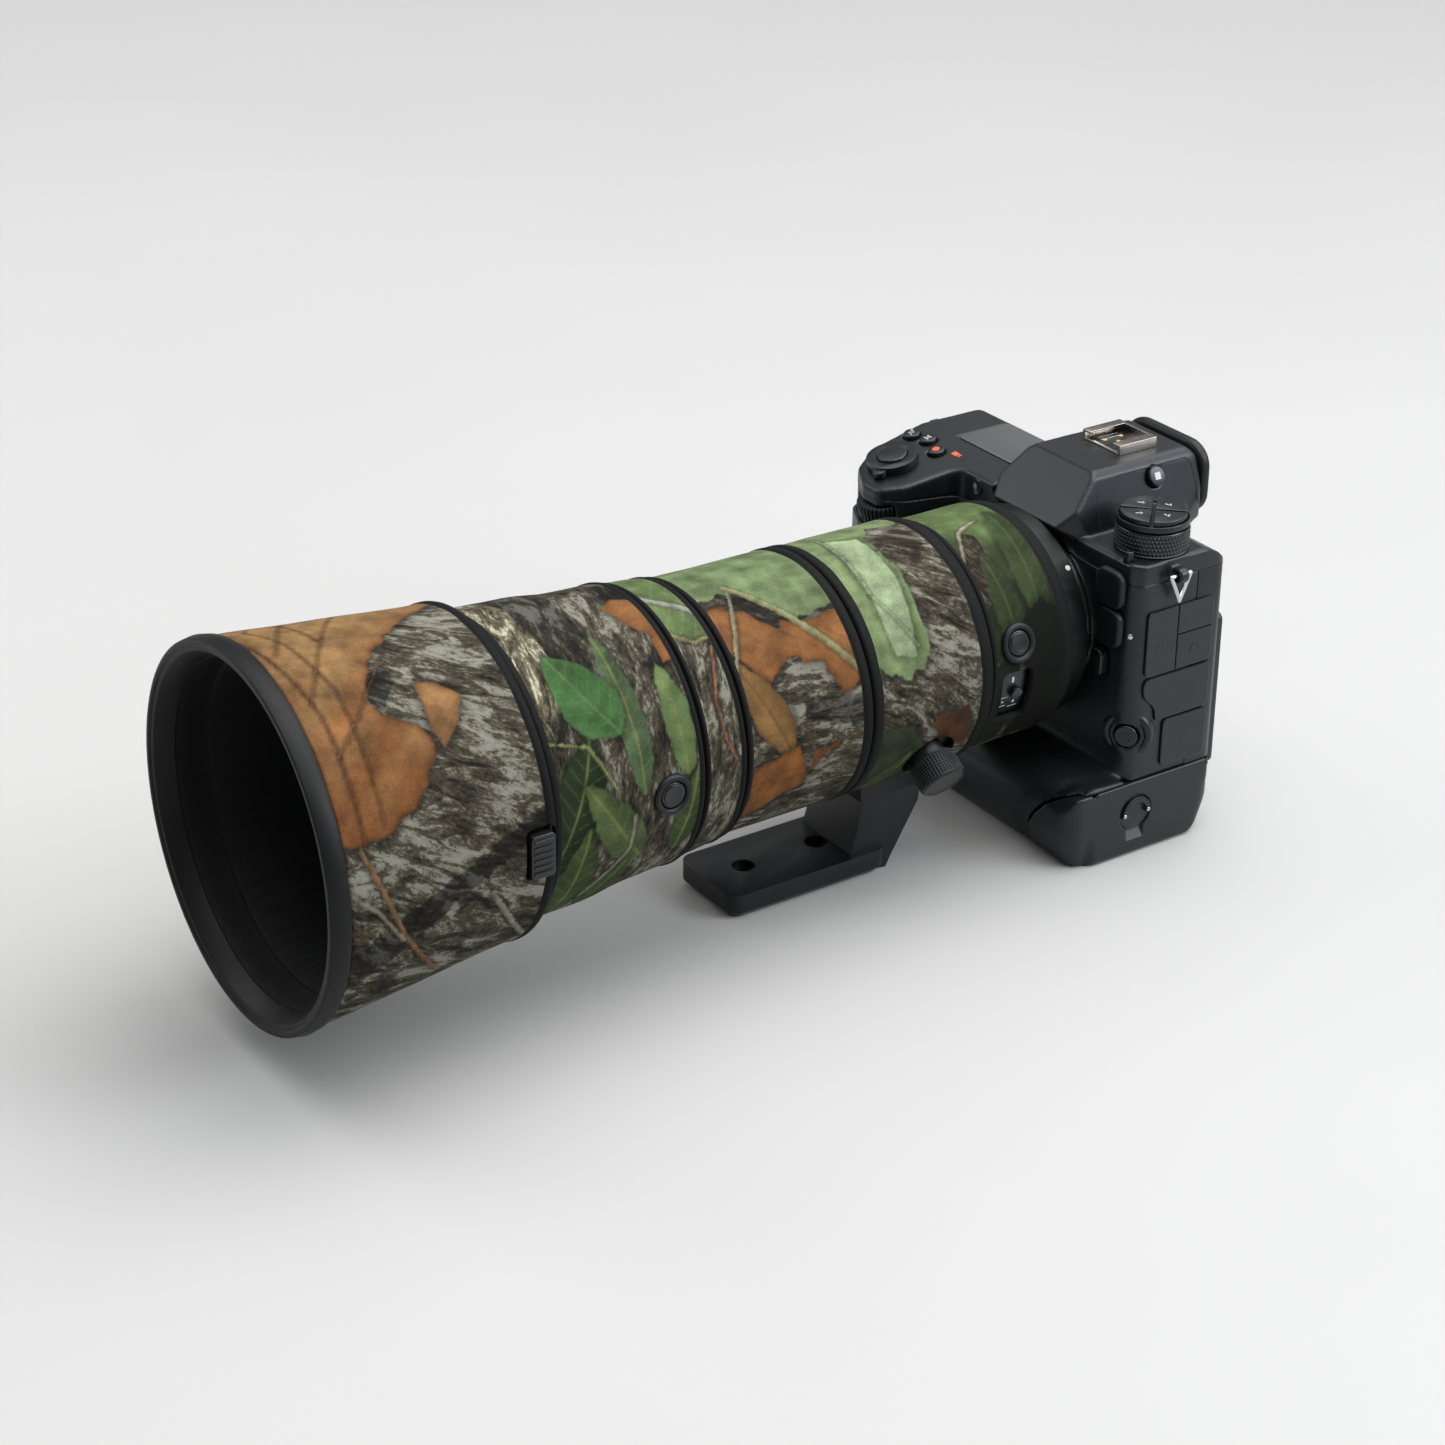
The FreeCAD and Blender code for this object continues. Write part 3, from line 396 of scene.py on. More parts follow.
def mould(nodes, materials, voxel, rounds, weight=lambda p: np.ones(len(p)), shape=None,
          paint=None, press=None):
    """Soften nodes of one body into a moulded skin; weight says how freely each point moves."""
    item = link_mesh(nodes[0] + "_look", clean_copy(*nodes), materials)
    remesh = item.modifiers.new("skin", "REMESH")
    remesh.mode = "VOXEL"
    remesh.voxel_size = voxel * MM
    apply_modifiers(item)
    mesh = item.data
    points = read(mesh.vertices, "co") / MM
    count = len(points)
    edges = read(mesh.edges, "vertices", 2, int)
    degree = np.bincount(edges.ravel(), minlength=count)[:, None]
    free = weight(points)[:, None]
    if shape:
        points = shape(points)
    for _ in range(rounds):
        total = np.zeros_like(points)
        for a, b in ((0, 1), (1, 0)):
            for k in range(3):
                total[:, k] += np.bincount(edges[:, a], points[edges[:, b], k], count)
        points += 0.5 * free * (total / degree - points)
    mesh.vertices.foreach_set("co", (points * MM).ravel())
    if press:
        mesh.update()
        points = press(points, read(mesh.vertices, "normal"))
        mesh.vertices.foreach_set("co", (points * MM).ravel())
    set_materials(mesh, materials)
    if paint:
        centres = read(mesh.polygons, "center") / MM
        mesh.polygons.foreach_set("material_index", paint(centres).astype(np.int32))
    smooth_faces(mesh)
    mesh.update()
    stand_in(item, *nodes)


def turn_frame(origin, direction, across=None):
    """Matrix whose Z is direction and whose X leans towards across."""
    z = Vector(direction).normalized()
    x = Vector(across or (Y if abs(z.y) < 0.9 else X))
    x = (x - z * x.dot(z)).normalized()
    return axes(origin, x, z.cross(x), z)


def lathe(name, profile, origin, direction, count, *materials, body="camera", radius_of=None,
          slots=()):
    """Turn (radius, height) steps about an axis; radius_of can press a pattern into it."""
    matrix = turn_frame(origin, direction)
    points, faces = [], []
    for row, (radius, height) in enumerate(profile):
        for k in range(count):
            angle = TURN * k / count
            r = radius_of(radius, height, angle, row) if radius_of else radius
            points.append(matrix @ Vector((r * math.cos(angle), r * math.sin(angle), height)))
    rows = len(profile)
    ring = min(profile[0][0], profile[-1][0]) > 0.02  # open in the middle
    for row in range(rows if ring else rows - 1):
        low, high = row * count, (row + 1) % rows * count
        for k in range(count):
            after = (k + 1) % count
            faces.append((low + k, low + after, high + after, high + k))
    if not ring:
        faces += [tuple(reversed(range(count))), tuple(range(high, high + count))]
    item = from_lists(name, points, faces, materials)
    if slots:
        for index, polygon in enumerate(item.data.polygons):
            polygon.material_index = slots[min(index // count, len(slots) - 1)]
    split = item.modifiers.new("split", "EDGE_SPLIT")
    split.split_angle = math.radians(42)
    apply_modifiers(item)
    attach(item, body)
    return item


def slab(name, shapes, place, lift, material, body, floor):
    """Flat outlines raised by lift off a plane; floor closes them underneath."""
    matrix = turn_frame(*place)
    points, faces = [], []
    for shape in shapes:
        start, count = len(points), len(shape)
        top = start + count
        points += [matrix @ Vector((x, y, z)) for z in (0, lift) for x, y in shape]
        if floor:
            faces.append(tuple(reversed(range(start, top))))
        faces.append(tuple(range(top, top + count)))
        faces += [(start + k, start + (k + 1) % count, top + (k + 1) % count, top + k)
                  for k in range(count)]
    item = from_lists(name, points, faces, [material], smooth=False)
    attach(item, body)
    return item


def lifted(name, outline, place, lift, material, body="camera", bevel=0.0):
    """A plate; place is (origin, direction, across)."""
    item = slab(name, [outline], place, lift, material, body, True)
    ease_edges(item, bevel, 2)
    return item


def mark(name, shapes, place, body="camera", material=WHITE):
    """Flat outlines just proud of the surface: a printed mark, or painted highlight on moulded
    lines.
    """
    slab(name, shapes, place, 0.06, material, body, False)


def oval(width, height, count=40):
    """An outline, given its half sizes."""
    return [(width * math.cos(TURN * k / count), height * math.sin(TURN * k / count))
            for k in range(count)]


def bar(length, width, turn=0.0, centre=(0, 0)):
    """A rectangle's outline."""
    c, s = cos_sin(turn)
    corners = [(x * length / 2, y * width / 2) for x, y in ((-1, -1), (1, -1), (1, 1), (-1, 1))]
    return [(centre[0] + x * c - y * s, centre[1] + x * s + y * c) for x, y in corners]


# ------------------------------------------------------------------ the printed coat
def waves(u, v, seed, scale):
    """Smooth pseudo-noise from a few crossing sine waves, about -1 to 1."""
    r = np.random.default_rng(seed)
    total = np.zeros_like(u)
    for _ in range(6):
        angle = r.uniform(0, TURN)
        pace = TURN / (scale * r.uniform(0.45, 1.5))
        total += np.sin(pace * (u * math.cos(angle) + v * math.sin(angle)) + r.uniform(0, 6.28))
    return total / 3.2


def over(below, above, share):
    """Colour rows with another colour laid over them."""
    share = share[:, None]
    return below * (1 - share) + np.array(above) * share


def unit(value):
    """Held between 0 and 1."""
    return np.clip(value, 0, 1)


class Print:
    """Paints one section: u along the lens in mm, v round it in mm from the port side up.

    Places on it are given as (mm along, degrees round).
    """

    def __init__(self, u, v, radius):
        self.u, self.v, self.radius = u, v, radius
        self.colour = np.zeros((len(u), 4))
        self.ground = np.ones((len(u), 3))

    def arc(self, degrees):
        return math.radians(degrees) * self.radius

    def waves(self, seed, scale):
        return waves(self.u, self.v, seed, scale)

    def lay(self, inside, soft, blur, tone):
        """Lay a tone where inside is above 0, with an edge soft mm wide and a shadow of blur mm."""
        cover = unit(inside / soft + 0.5)
        dim = 1 - 0.55 * (unit(1 + inside / blur) * (1 - cover))[:, None]
        self.ground *= dim
        self.colour[:, :3] = over(self.colour[:, :3] * dim, tone, cover)
        self.colour[:, 3] = self.colour[:, 3] * (1 - cover) + cover

    def leaf(self, at, turn, long, wide, tone, rib=None, burnt=0.0, seed=1, bend=0.0, veins=5.0):
        """One leaf with a midrib and side veins."""
        du = self.u - at[0]
        girth = TURN * self.radius
        dv = (self.v - self.arc(at[1]) + girth / 2) % girth - girth / 2
        c, s = cos_sin(turn)
        x = du * c + dv * s
        y = -du * s + dv * c - bend * (x / long) ** 2 * long
        t = np.clip(x / (long / 2), -1, 1)
        half = wide / 2 * np.maximum(1 - np.abs(t) ** 2.1, 0) ** 0.72 * (1 - 0.28 * t)
        wobble = self.waves(seed, 9.0) * 0.55 + self.waves(seed + 7, 3.0) * 0.2
        inside = np.minimum(half - np.abs(y) + wobble, (long / 2 - np.abs(x)) * 0.8)
        tone = np.array(tone) * (1.0 + 0.22 * self.waves(seed + 3, 14.0)
                                 + 0.1 * np.sign(y))[:, None]
        side = ((x - 0.75 * np.abs(y)) / veins) % 1.0
        line = np.exp(-(((side - 0.5) * veins) / 0.28) ** 2) * 0.32
        line = np.maximum(line, np.exp(-(y / 0.45) ** 2) * 0.8) * unit(inside)
        tone = over(tone, rib or (0.36, 0.38, 0.12), line)
        if burnt:
            tone = over(tone, (0.035, 0.014, 0.006), np.exp(-np.maximum(inside, 0) / 1.5) * burnt)
        self.lay(inside, 0.7, 2.6, tone)

    def area(self, corners, seed, wobble):
        """How far inside a ragged outline each point lies."""
        spots = np.array([(a, self.arc(b)) for a, b in corners], float)
        near = np.full(len(self.u), 1e9)
        inside = np.zeros(len(self.u), bool)
        for a, b in zip(spots, np.roll(spots, -1, axis=0)):
            e = b - a
            w = np.stack([self.u - a[0], self.v - a[1]], 1)
            t = unit((w @ e) / max(e @ e, 1e-9))
            near = np.minimum(near, np.hypot(w[:, 0] - t * e[0], w[:, 1] - t * e[1]))
            cut = a[0] + (self.v - a[1]) * e[0] / (e[1] if abs(e[1]) > 1e-9 else 1e-9)
            inside ^= ((a[1] > self.v) != (b[1] > self.v)) & (self.u < cut)
        return np.where(inside, near, -near) + wobble * (self.waves(seed, 11.0) * 0.8
                                                         + self.waves(seed + 5, 4.0) * 0.3)

    def shade(self, corners, tone, seed, wobble=1.0):
        """Bare bark, darker or lighter than the rest by tone."""
        cover = unit(self.area(corners, seed, wobble) / 0.7 + 0.5)
        self.ground = over(self.ground, tone, cover)
        self.colour[:, 3] *= 1 - cover

    def patch(self, corners, tone, burnt=0.0, seed=1, wobble=1.0, streak=None, fade=None):
        """A large leaf that fades to another tone, is streaked and burnt at its edge."""
        signed = self.area(corners, seed, wobble)
        tone = np.array(tone)[None, :]
        if fade:
            other, low, high = fade
            k = (self.v - self.arc(low)) / (self.arc(high) - self.arc(low))
            tone = over(tone, other, unit(k + 0.35 * self.waves(seed + 6, 24.0)))
        tone = tone * (1.0 + 0.2 * self.waves(seed + 3, 22.0)
                       + 0.1 * self.waves(seed + 4, 6.0))[:, None]
        if streak:
            turn, gap, tint, strength = streak
            c, s = cos_sin(turn)
            across = -self.u * s + self.v * c + 1.6 * self.waves(seed + 9, 30.0)
            tone = over(tone, tint, np.exp(-((((across / gap) % 1.0) - 0.5) * gap / 0.3) ** 2)
                        * strength)
        if burnt:
            deep = np.maximum(signed, 0)
            tone = over(tone, (0.36, 0.12, 0.03), np.exp(-deep / 5.5) * burnt * 0.75)
            tone = over(tone, (0.035, 0.012, 0.005), np.exp(-deep / 1.3) * min(burnt * 1.2, 1))
        self.lay(signed, 0.7, 3.0, tone)

    def stick(self, stops, width, tone, seed=1):
        """A twig through the stops, lighter along its upper side."""
        near = np.full(len(self.u), 1e9)
        side = np.zeros(len(self.u))
        spots = [np.array((u, self.arc(d))) for u, d in stops]
        for a, b in zip(spots, spots[1:]):
            e = b - a
            w = np.stack([self.u - a[0], self.v - a[1]], 1)
            off = w - unit((w @ e) / (e @ e))[:, None] * e
            gap = np.hypot(off[:, 0], off[:, 1])
            side = np.where(gap < near, np.sign(off @ np.array((-e[1], e[0]))) * gap, side)
            near = np.minimum(near, gap)
        near = near + 0.25 * self.waves(seed, 3.5)
        tone = np.array(tone) * (1 + 0.4 * np.clip(side / (width / 2), -1, 1)
                                 + 0.2 * self.waves(seed + 2, 5.0))[:, None]
        self.lay(width / 2 - near, 0.5, 1.4, np.maximum(tone, 0))


TAN = (0.56, 0.33, 0.145)
RUST = (0.42, 0.175, 0.055)
LIME = (0.25, 0.35, 0.14)
GREEN = (0.072, 0.125, 0.04)
DEEP = (0.026, 0.052, 0.018)
STRAW = (0.45, 0.42, 0.25)
RED_RIB = (0.2, 0.07, 0.02)
GLOOM = (0.3, 0.3, 0.32)


def far_side(p, seed, low, high):
    """Leaves on the side that faces away, so the print goes all the way round."""
    r = np.random.default_rng(seed)
    tones = [(LIME, None, 0), (GREEN, None, 0), (RUST, RED_RIB, 0.7), (DEEP, None, 0),
             (TAN, (0.25, 0.12, 0.04), 0.7)]
    for _ in range(int((high - low) / 9) + 4):
        tone, rib, burnt = tones[int(r.integers(len(tones)))]
        p.leaf((r.uniform(low, high), r.uniform(158, 272)), r.uniform(0, 180), r.uniform(24, 42),
               r.uniform(11, 19), tone, rib, burnt, seed=int(r.integers(999)), bend=0.25)
    p.stick([(low, 170), ((low + high) / 2, 205), (high, 195)], 2.6, STRAW, seed)


def paint_hood(p):
    p.shade([(-345, -30), (-345, -14), (-300, 2), (-262, 16), (-262, 9), (-300, -7)],
            (0.28, 0.29, 0.31), 3)
    p.patch([(-345, 20), (-326, 19), (-311, 27), (-299, 41), (-304, 49), (-314, 54), (-315, 63),
             (-305, 77), (-284, 93), (-262, 109), (-262, 172), (-345, 172)], (0.38, 0.155, 0.048),
            0.7, 11, fade=((0.5, 0.29, 0.115), 30, 84))
    p.shade([(-317, 58), (-312, 69), (-304, 71), (-305, 63), (-312, 56)], GLOOM, 4, 0.6)
    p.patch([(-299, 62), (-291, 61), (-284, 55), (-290, 46), (-298, 39), (-300, 47)],
            (0.56, 0.3, 0.12), 0.5, 8, 0.5)
    p.stick([(-346, 112), (-339, 84), (-334, 58), (-334, 18)], 0.7, (0.14, 0.05, 0.02), 5)
    p.stick([(-344, 128), (-330, 92), (-325, 66), (-326, 24)], 0.45, (0.2, 0.08, 0.03), 15)
    p.stick([(-338, 150), (-322, 112), (-318, 88)], 0.45, (0.2, 0.08, 0.03), 16)
    for low, high in ((44, 78), (62, 112), (84, 140), (104, 160)):
        p.stick([(-335, low), (-322, (low + high) / 2 - 6), (-300, high)], 0.4,
                (0.24, 0.1, 0.035), low)
    p.stick([(-336, 18), (-322, -12), (-304, -38)], 2.0, (0.34, 0.2, 0.1), 6)
    p.stick([(-345, 10), (-331, -2), (-322, -14)], 1.6, (0.4, 0.34, 0.24), 7)
    p.stick([(-288, -10), (-276, -30), (-262, -52)], 2.4, (0.42, 0.4, 0.3), 9)
    p.leaf((-318, -62), 25, 44, 17, (0.3, 0.28, 0.14), burnt=0.5, seed=21)
    p.leaf((-286, -74), 150, 38, 15, GREEN, seed=22)
    p.leaf((-330, -95), 70, 36, 14, RUST, RED_RIB, 0.7, 23)
    p.leaf((-296, -108), 20, 44, 18, DEEP, seed=24)
    far_side(p, 31, -340, -265)


def paint_front(p):
    p.shade([(-262, 34), (-262, 112), (-247, 108), (-245, 60), (-250, 36)], (2.1, 2.15, 2.0), 2)
    p.shade([(-246, 62), (-247, 122), (-227, 122), (-228, 70), (-236, 58)], (0.42, 0.42, 0.44), 3)
    p.shade([(-214, 92), (-206, 84), (-199, 86), (-199, 96)], GLOOM, 5)
    p.leaf((-226, 36), 92, 62, 11, (0.12, 0.2, 0.09), seed=6, veins=6)
    p.leaf((-252, 6), 66, 52, 21, DEEP, (0.3, 0.36, 0.12), seed=7, bend=0.12)
    p.leaf((-241, 45), 118, 36, 21, (0.09, 0.23, 0.065), (0.24, 0.38, 0.15), seed=9, bend=-0.2)
    p.leaf((-251, -24), 80, 40, 16, GREEN, seed=10)
    p.leaf((-236, -6), 124, 44, 15, (0.13, 0.2, 0.07), seed=12)
    p.leaf((-236, -36), 60, 26, 17, GREEN, seed=13)
    p.leaf((-208, 28), 93, 42, 11, (0.2, 0.31, 0.11), seed=14, veins=7)
    p.leaf((-206, -12), 80, 36, 11, GREEN, seed=15)
    p.patch([(-215, 82), (-208, 87), (-199, 83), (-199, 50), (-206, 50), (-206, 63), (-212, 71)],
            (0.5, 0.22, 0.07), 0.35, 16, 0.5)
    p.stick([(-262, 33), (-245, 27), (-236, 8)], 1.1, (0.36, 0.42, 0.16), 17)
    p.stick([(-245, -38), (-230, -18), (-229, -4)], 1.6, (0.4, 0.38, 0.3), 18)
    p.leaf((-222, -70), 100, 40, 16, DEEP, seed=19)
    p.leaf((-246, -84), 40, 42, 18, RUST, RED_RIB, 0.7, 20)
    p.leaf((-222, 135), 80, 44, 18, GREEN, seed=25)
    far_side(p, 32, -258, -203)


def paint_control(p):
    p.patch([(-202, 58), (-202, 140), (-178, 140), (-178, 66), (-186, 56)], (0.2, 0.29, 0.11),
            seed=2, streak=(60, 5.0, (0.36, 0.4, 0.16), 0.5))
    p.stick([(-200, 86), (-181, 68)], 2.6, (0.5, 0.52, 0.42), 3)
    p.stick([(-199, 62), (-190, 55), (-181, 57)], 1.6, (0.34, 0.32, 0.14), 4)
    p.stick([(-185, 52), (-191, 30), (-190, 14), (-186, 4)], 1.3, (0.36, 0.16, 0.08), 5)
    p.leaf((-192, -66), 70, 34, 13, GREEN, seed=8)
    far_side(p, 33, -198, -182)


def paint_focus(p):
    p.patch([(-182, 73), (-168, 77), (-158, 68), (-151, 54), (-126, 57), (-126, 150), (-182, 150)],
            (0.29, 0.4, 0.18), seed=3, wobble=1.4)
    p.patch([(-182, 68), (-171, 70), (-160, 60), (-147, 52), (-126, 56), (-126, 22), (-139, 18),
             (-146, 34), (-157, 38), (-166, 30), (-176, 34), (-182, 44)], (0.46, 0.2, 0.065),
            0.6, 5, streak=(-40, 8.0, (0.28, 0.1, 0.03), 0.45))
    p.shade([(-168, 72), (-164, 76), (-153, 60), (-156, 52), (-162, 58)], (0.26, 0.26, 0.28), 6,
            0.5)
    p.shade([(-182, 52), (-176, 44), (-160, 12), (-164, 4), (-174, 30), (-182, 40)],
            (0.24, 0.24, 0.26), 7, 0.5)
    p.leaf((-171, 21), 116, 42, 14, (0.42, 0.23, 0.08), (0.24, 0.1, 0.03), 0.5, 8)
    p.patch([(-182, -6), (-158, 1), (-154, -20), (-166, -27), (-182, -35)], (0.42, 0.17, 0.05),
            0.5, 9, streak=(60, 8.0, (0.24, 0.08, 0.02), 0.5))
    p.patch([(-153, -4), (-142, -4), (-152, -14)], (0.44, 0.16, 0.05), 0.4, 10)
    p.shade([(-152, 20), (-128, 14), (-128, 0), (-140, 4), (-156, 12)], (0.34, 0.34, 0.35), 12)
    p.stick([(-182, 30), (-176, 46), (-164, 80)], 1.5, STRAW, 13)
    p.stick([(-165, 80), (-150, 56), (-129, 24)], 2.6, (0.4, 0.4, 0.2), 14)
    p.leaf((-150, -62), 20, 44, 16, DEEP, seed=15)
    p.leaf((-168, -84), 110, 40, 15, GREEN, seed=16)
    far_side(p, 34, -178, -129)


def paint_collar(p):
    p.patch([(-128, 26), (-110, 14), (-100, 22), (-98, 60), (-99, 88), (-92, 100), (-80, 96),
             (-74, 108), (-74, 150), (-128, 150)], (0.33, 0.45, 0.2), seed=3)
    p.patch([(-114, 26), (-106, 24), (-101, 60), (-101, 92), (-113, 96), (-116, 60)],
            (0.5, 0.63, 0.36), seed=4, wobble=0.5)
    p.stick([(-116, 150), (-114, 96), (-115, 55)], 0.8, (0.5, 0.6, 0.36), 5)
    p.stick([(-115, 55), (-104, 28)], 0.7, (0.42, 0.5, 0.28), 6)
    p.shade([(-99, 70), (-97, 92), (-84, 92), (-80, 78), (-90, 62)], (0.5, 0.48, 0.46), 7)
    p.patch([(-128, -6), (-108, -8), (-98, -30), (-98, -60), (-128, -60)], (0.06, 0.08, 0.04),
            seed=8)
    p.patch([(-98, -8), (-84, -6), (-80, -30), (-96, -32)], (0.14, 0.06, 0.025), seed=9)
    p.leaf((-112, -44), 70, 34, 15, GREEN, seed=10)
    far_side(p, 35, -122, -78)


def paint_rear(p):
    p.patch([(-74, 10), (-74, 140), (-30, 140), (-30, 10)], (0.034, 0.054, 0.018), seed=3,
            fade=((0.19, 0.28, 0.1), 52, 84))
    p.shade([(-73, 55), (-64, 78), (-58, 74), (-62, 40), (-70, 36)], (0.42, 0.36, 0.32), 4, 0.5)
    p.leaf((-61, 36), 93, 40, 12, (0.045, 0.07, 0.022), (0.12, 0.15, 0.06), seed=5)
    p.leaf((-46, 56), 86, 54, 13, (0.06, 0.095, 0.03), (0.13, 0.18, 0.065), seed=6)
    p.patch([(-58, 24), (-46, 34), (-36, 26), (-36, -50), (-58, -50)], (0.005, 0.007, 0.004),
            seed=7)
    p.patch([(-74, 6), (-60, 12), (-60, -50), (-74, -50)], (0.014, 0.022, 0.008), seed=8)
    p.stick([(-73, 52), (-63, 78), (-52, 84)], 1.4, (0.45, 0.4, 0.28), 9)
    far_side(p, 36, -70, -38)


PITCH = 0.62  # spacing of the cloth's points
SNAP = PITCH * 0.72  # points this near an opening's edge move onto it
THICK = 2.4  # depth of the cloth's edge walls


def coat(name, node, profile, painter, reference, bindings, turn, *holes):
    """A section of the coat: fine outer face, edge walls, openings and painted attributes.

    A hole is (mm along, degrees round), half its sizes and its corner radius, None if round.
    """
    knots = np.array(profile, float)
    start, end = knots[:, 0].min(), knots[:, 0].max()
    rows = max(int((end - start) / PITCH), 6) + 1
    count = int(TURN * reference / PITCH)
    u = np.linspace(start, end, rows)
    radius = np.interp(u, knots[:, 0], knots[:, 1])
    radius = np.convolve(np.pad(radius, 4, mode="edge"), np.ones(9) / 9, "valid")
    uu, aa = np.meshgrid(u, np.linspace(0, TURN, count, endpoint=False), indexing="ij")
    rr = np.repeat(radius[:, None], count, 1)
    vv = np.where(aa > math.radians(285), aa - TURN, aa) * reference
    bound = np.zeros(rr.shape, bool)
    for low, high in bindings:
        inside = (uu >= low - 1e-6) & (uu <= high + 1e-6)
        bound |= inside
        middle, half = (low + high) / 2, (high - low) / 2 + 1e-9
        rr += np.where(inside, 0.5 * np.sqrt(np.maximum(1 - ((uu - middle) / half) ** 2, 0)), 0)
        rr -= 0.25 * np.exp(-(np.minimum(abs(uu - low), abs(uu - high)) / 0.5) ** 2)
    loose = 0.16 * waves(uu.ravel(), vv.ravel(), len(name), 26.0).reshape(rr.shape)
    rr += np.where(bound, 0, loose)
    edge = unit(np.minimum(uu - start, end - uu))
    rr -= 0.7 * (1 - np.sqrt(unit(1 - (1 - edge) ** 2)))
    # openings: faces inside go, and the points around them move onto the edge
    keep = np.ones((rows, count), bool)
    for (cu, ca), size_u, size_v, corner in holes:
        du = uu - cu
        dv = (vv - math.radians(ca) * reference + math.pi * reference) % (
            TURN * reference) - math.pi * reference
        dv = dv * rr / reference
        if corner is None:
            gap = np.hypot(du, dv) - size_u
            away = np.stack([du, dv], -1)
        else:
            qu, qv = np.abs(du) - size_u + corner, np.abs(dv) - size_v + corner
            gap = (np.hypot(np.maximum(qu, 0), np.maximum(qv, 0))
                   + np.minimum(np.maximum(qu, qv), 0) - corner)
            both = (qu > 0) & (qv > 0)
            away = np.stack([np.where(both, qu, qu > qv) * np.sign(du),
                             np.where(both, qv, qu <= qv) * np.sign(dv)], -1)
        away = away / np.maximum(np.linalg.norm(away, axis=-1), 1e-6)[..., None]
        snap = np.abs(gap) < SNAP
        uu = np.where(snap, uu - gap * away[..., 0], uu)
        aa = aa + np.where(snap, -gap * away[..., 1], 0) / rr
        keep &= gap > -SNAP
    points = np.stack([rr * np.cos(aa), uu, AXIS + rr * np.sin(aa)], -1).reshape(-1, 3)
    index = np.arange(rows * count).reshape(rows, count)
    beside = np.roll(index, -1, axis=1)
    quads = np.stack([index[:-1], beside[:-1], beside[1:], index[1:]], -1).reshape(-1, 4)
    quads = quads[keep.ravel()[quads].all(1)]
    along = ((quads[:, 0] // count) + 0.5) / (rows - 1) * (end - start) + start
    in_band = np.any([(along > low) & (along < high) for low, high in bindings], axis=0)
    mesh = bmesh.new()
    spots = [mesh.verts.new(tuple(p * MM)) for p in points]
    for quad, band in zip(quads, in_band):
        face = mesh.faces.new([spots[i] for i in quad])
        face.material_index = int(band)
        face.smooth = True
    mesh.verts.index_update()
    # walls down from every open edge, as thick as the cloth
    rims = [e for e in mesh.edges if len(e.link_faces) == 1]
    for made in bmesh.ops.extrude_edge_only(mesh, edges=rims)["geom"]:
        if isinstance(made, bmesh.types.BMVert):
            inward = Vector((made.co.x, 0, made.co.z - AXIS * MM))
            made.co -= inward.normalized() * THICK * MM
        elif isinstance(made, bmesh.types.BMFace):
            made.material_index = 1
    bmesh.ops.delete(mesh, geom=[v for v in mesh.verts if not v.link_faces], context="VERTS")
    bmesh.ops.recalc_face_normals(mesh, faces=mesh.faces)
    data = bpy.data.meshes.new(name)
    mesh.to_mesh(data)
    mesh.free()
    item = link_mesh(name, data, [camo_material(name + "_print", turn), BINDING], False)
    co = read(data.vertices, "co") / MM
    around = np.arctan2(co[:, 2] - AXIS, co[:, 0])
    around = np.where(around < math.radians(-75), around + TURN, around)
    p = Print(co[:, 1], around * reference, reference)
    painter(p)
    ones, zeros = np.ones((len(co), 1)), np.zeros(len(co))
    for label, kind, key, values in (
            ("paint", "FLOAT_COLOR", "color", np.clip(p.colour, 0, 1)),
            ("ground", "FLOAT_COLOR", "color", np.concatenate([p.ground, ones], 1)),
            ("cloth", "FLOAT_VECTOR", "vector", np.stack([p.u, p.v, zeros], 1))):
        data.attributes.new(label, kind, "POINT").data.foreach_set(key, values.ravel())
    stand_in(item, node)
    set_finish(item, "printed_coat")


coat("hood_coat_cloth", "hood_coat",
     [(-341.9, 65.2), (-338, 65.2), (-270, 58.5), (-266, 58.6), (-263.1, 58.0)],
     paint_hood, 62.0, [(-266.6, -263.0)], 32.0, ((-269.6, -2.0), 5.6, 9.0, 2.0))
coat("front_coat_cloth", "front_coat",
     [(-262.0, 54.4), (-248, 53.8), (-234, 52.9), (-222, 51.2), (-206, 50.3), (-199.9, 50.0)],
     paint_front, 52.0, [(-262.1, -258.6), (-202.6, -199.8)], 96.0,
     ((-214.0, -0.5), 6.6, 6.6, None))
coat("control_ring_cloth", "control_ring_coat",
     [(-199.1, 49.4), (-195, 48.8), (-186, 48.3), (-181.3, 47.4)],
     paint_control, 48.5, [(-199.2, -196.9), (-183.6, -181.2)], 100.0)
coat("focus_ring_cloth", "focus_ring_coat",
     [(-180.6, 47.2), (-176, 46.6), (-132, 46.3), (-126.8, 46.1)],
     paint_focus, 46.5, [(-180.7, -178.4), (-130.9, -126.7)], 8.0)
coat("collar_cloth", "collar_coat",
     [(-126.4, 46.1), (-121, 46.0), (-77, 45.7), (-72.6, 45.0)],
     paint_collar, 46.0, [(-126.5, -122.2), (-78.2, -72.5)], 35.0,
     ((-95.5, -34.0), 10.6, 10.6, None), ((-93.2, -90.0), 18.7, 19.5, 4.0))
coat("rear_coat_cloth", "rear_coat",
     [(-72.2, 44.0), (-68, 44.1), (-39, 43.8), (-33.6, 42.8)],
     paint_rear, 44.0, [(-72.3, -70.0), (-39.6, -33.5)], 70.0,
     ((-60.2, 15.7), 6.6, 6.6, None), ((-60.5, -12.5), 7.0, 11.0, 3.0))


# ------------------------------------------------------------------ camera body
def ease(value, low, high):
    """Smooth step from 0 at low to 1 at high."""
    t = unit((value - low) / (high - low))
    return t * t * (3 - 2 * t)


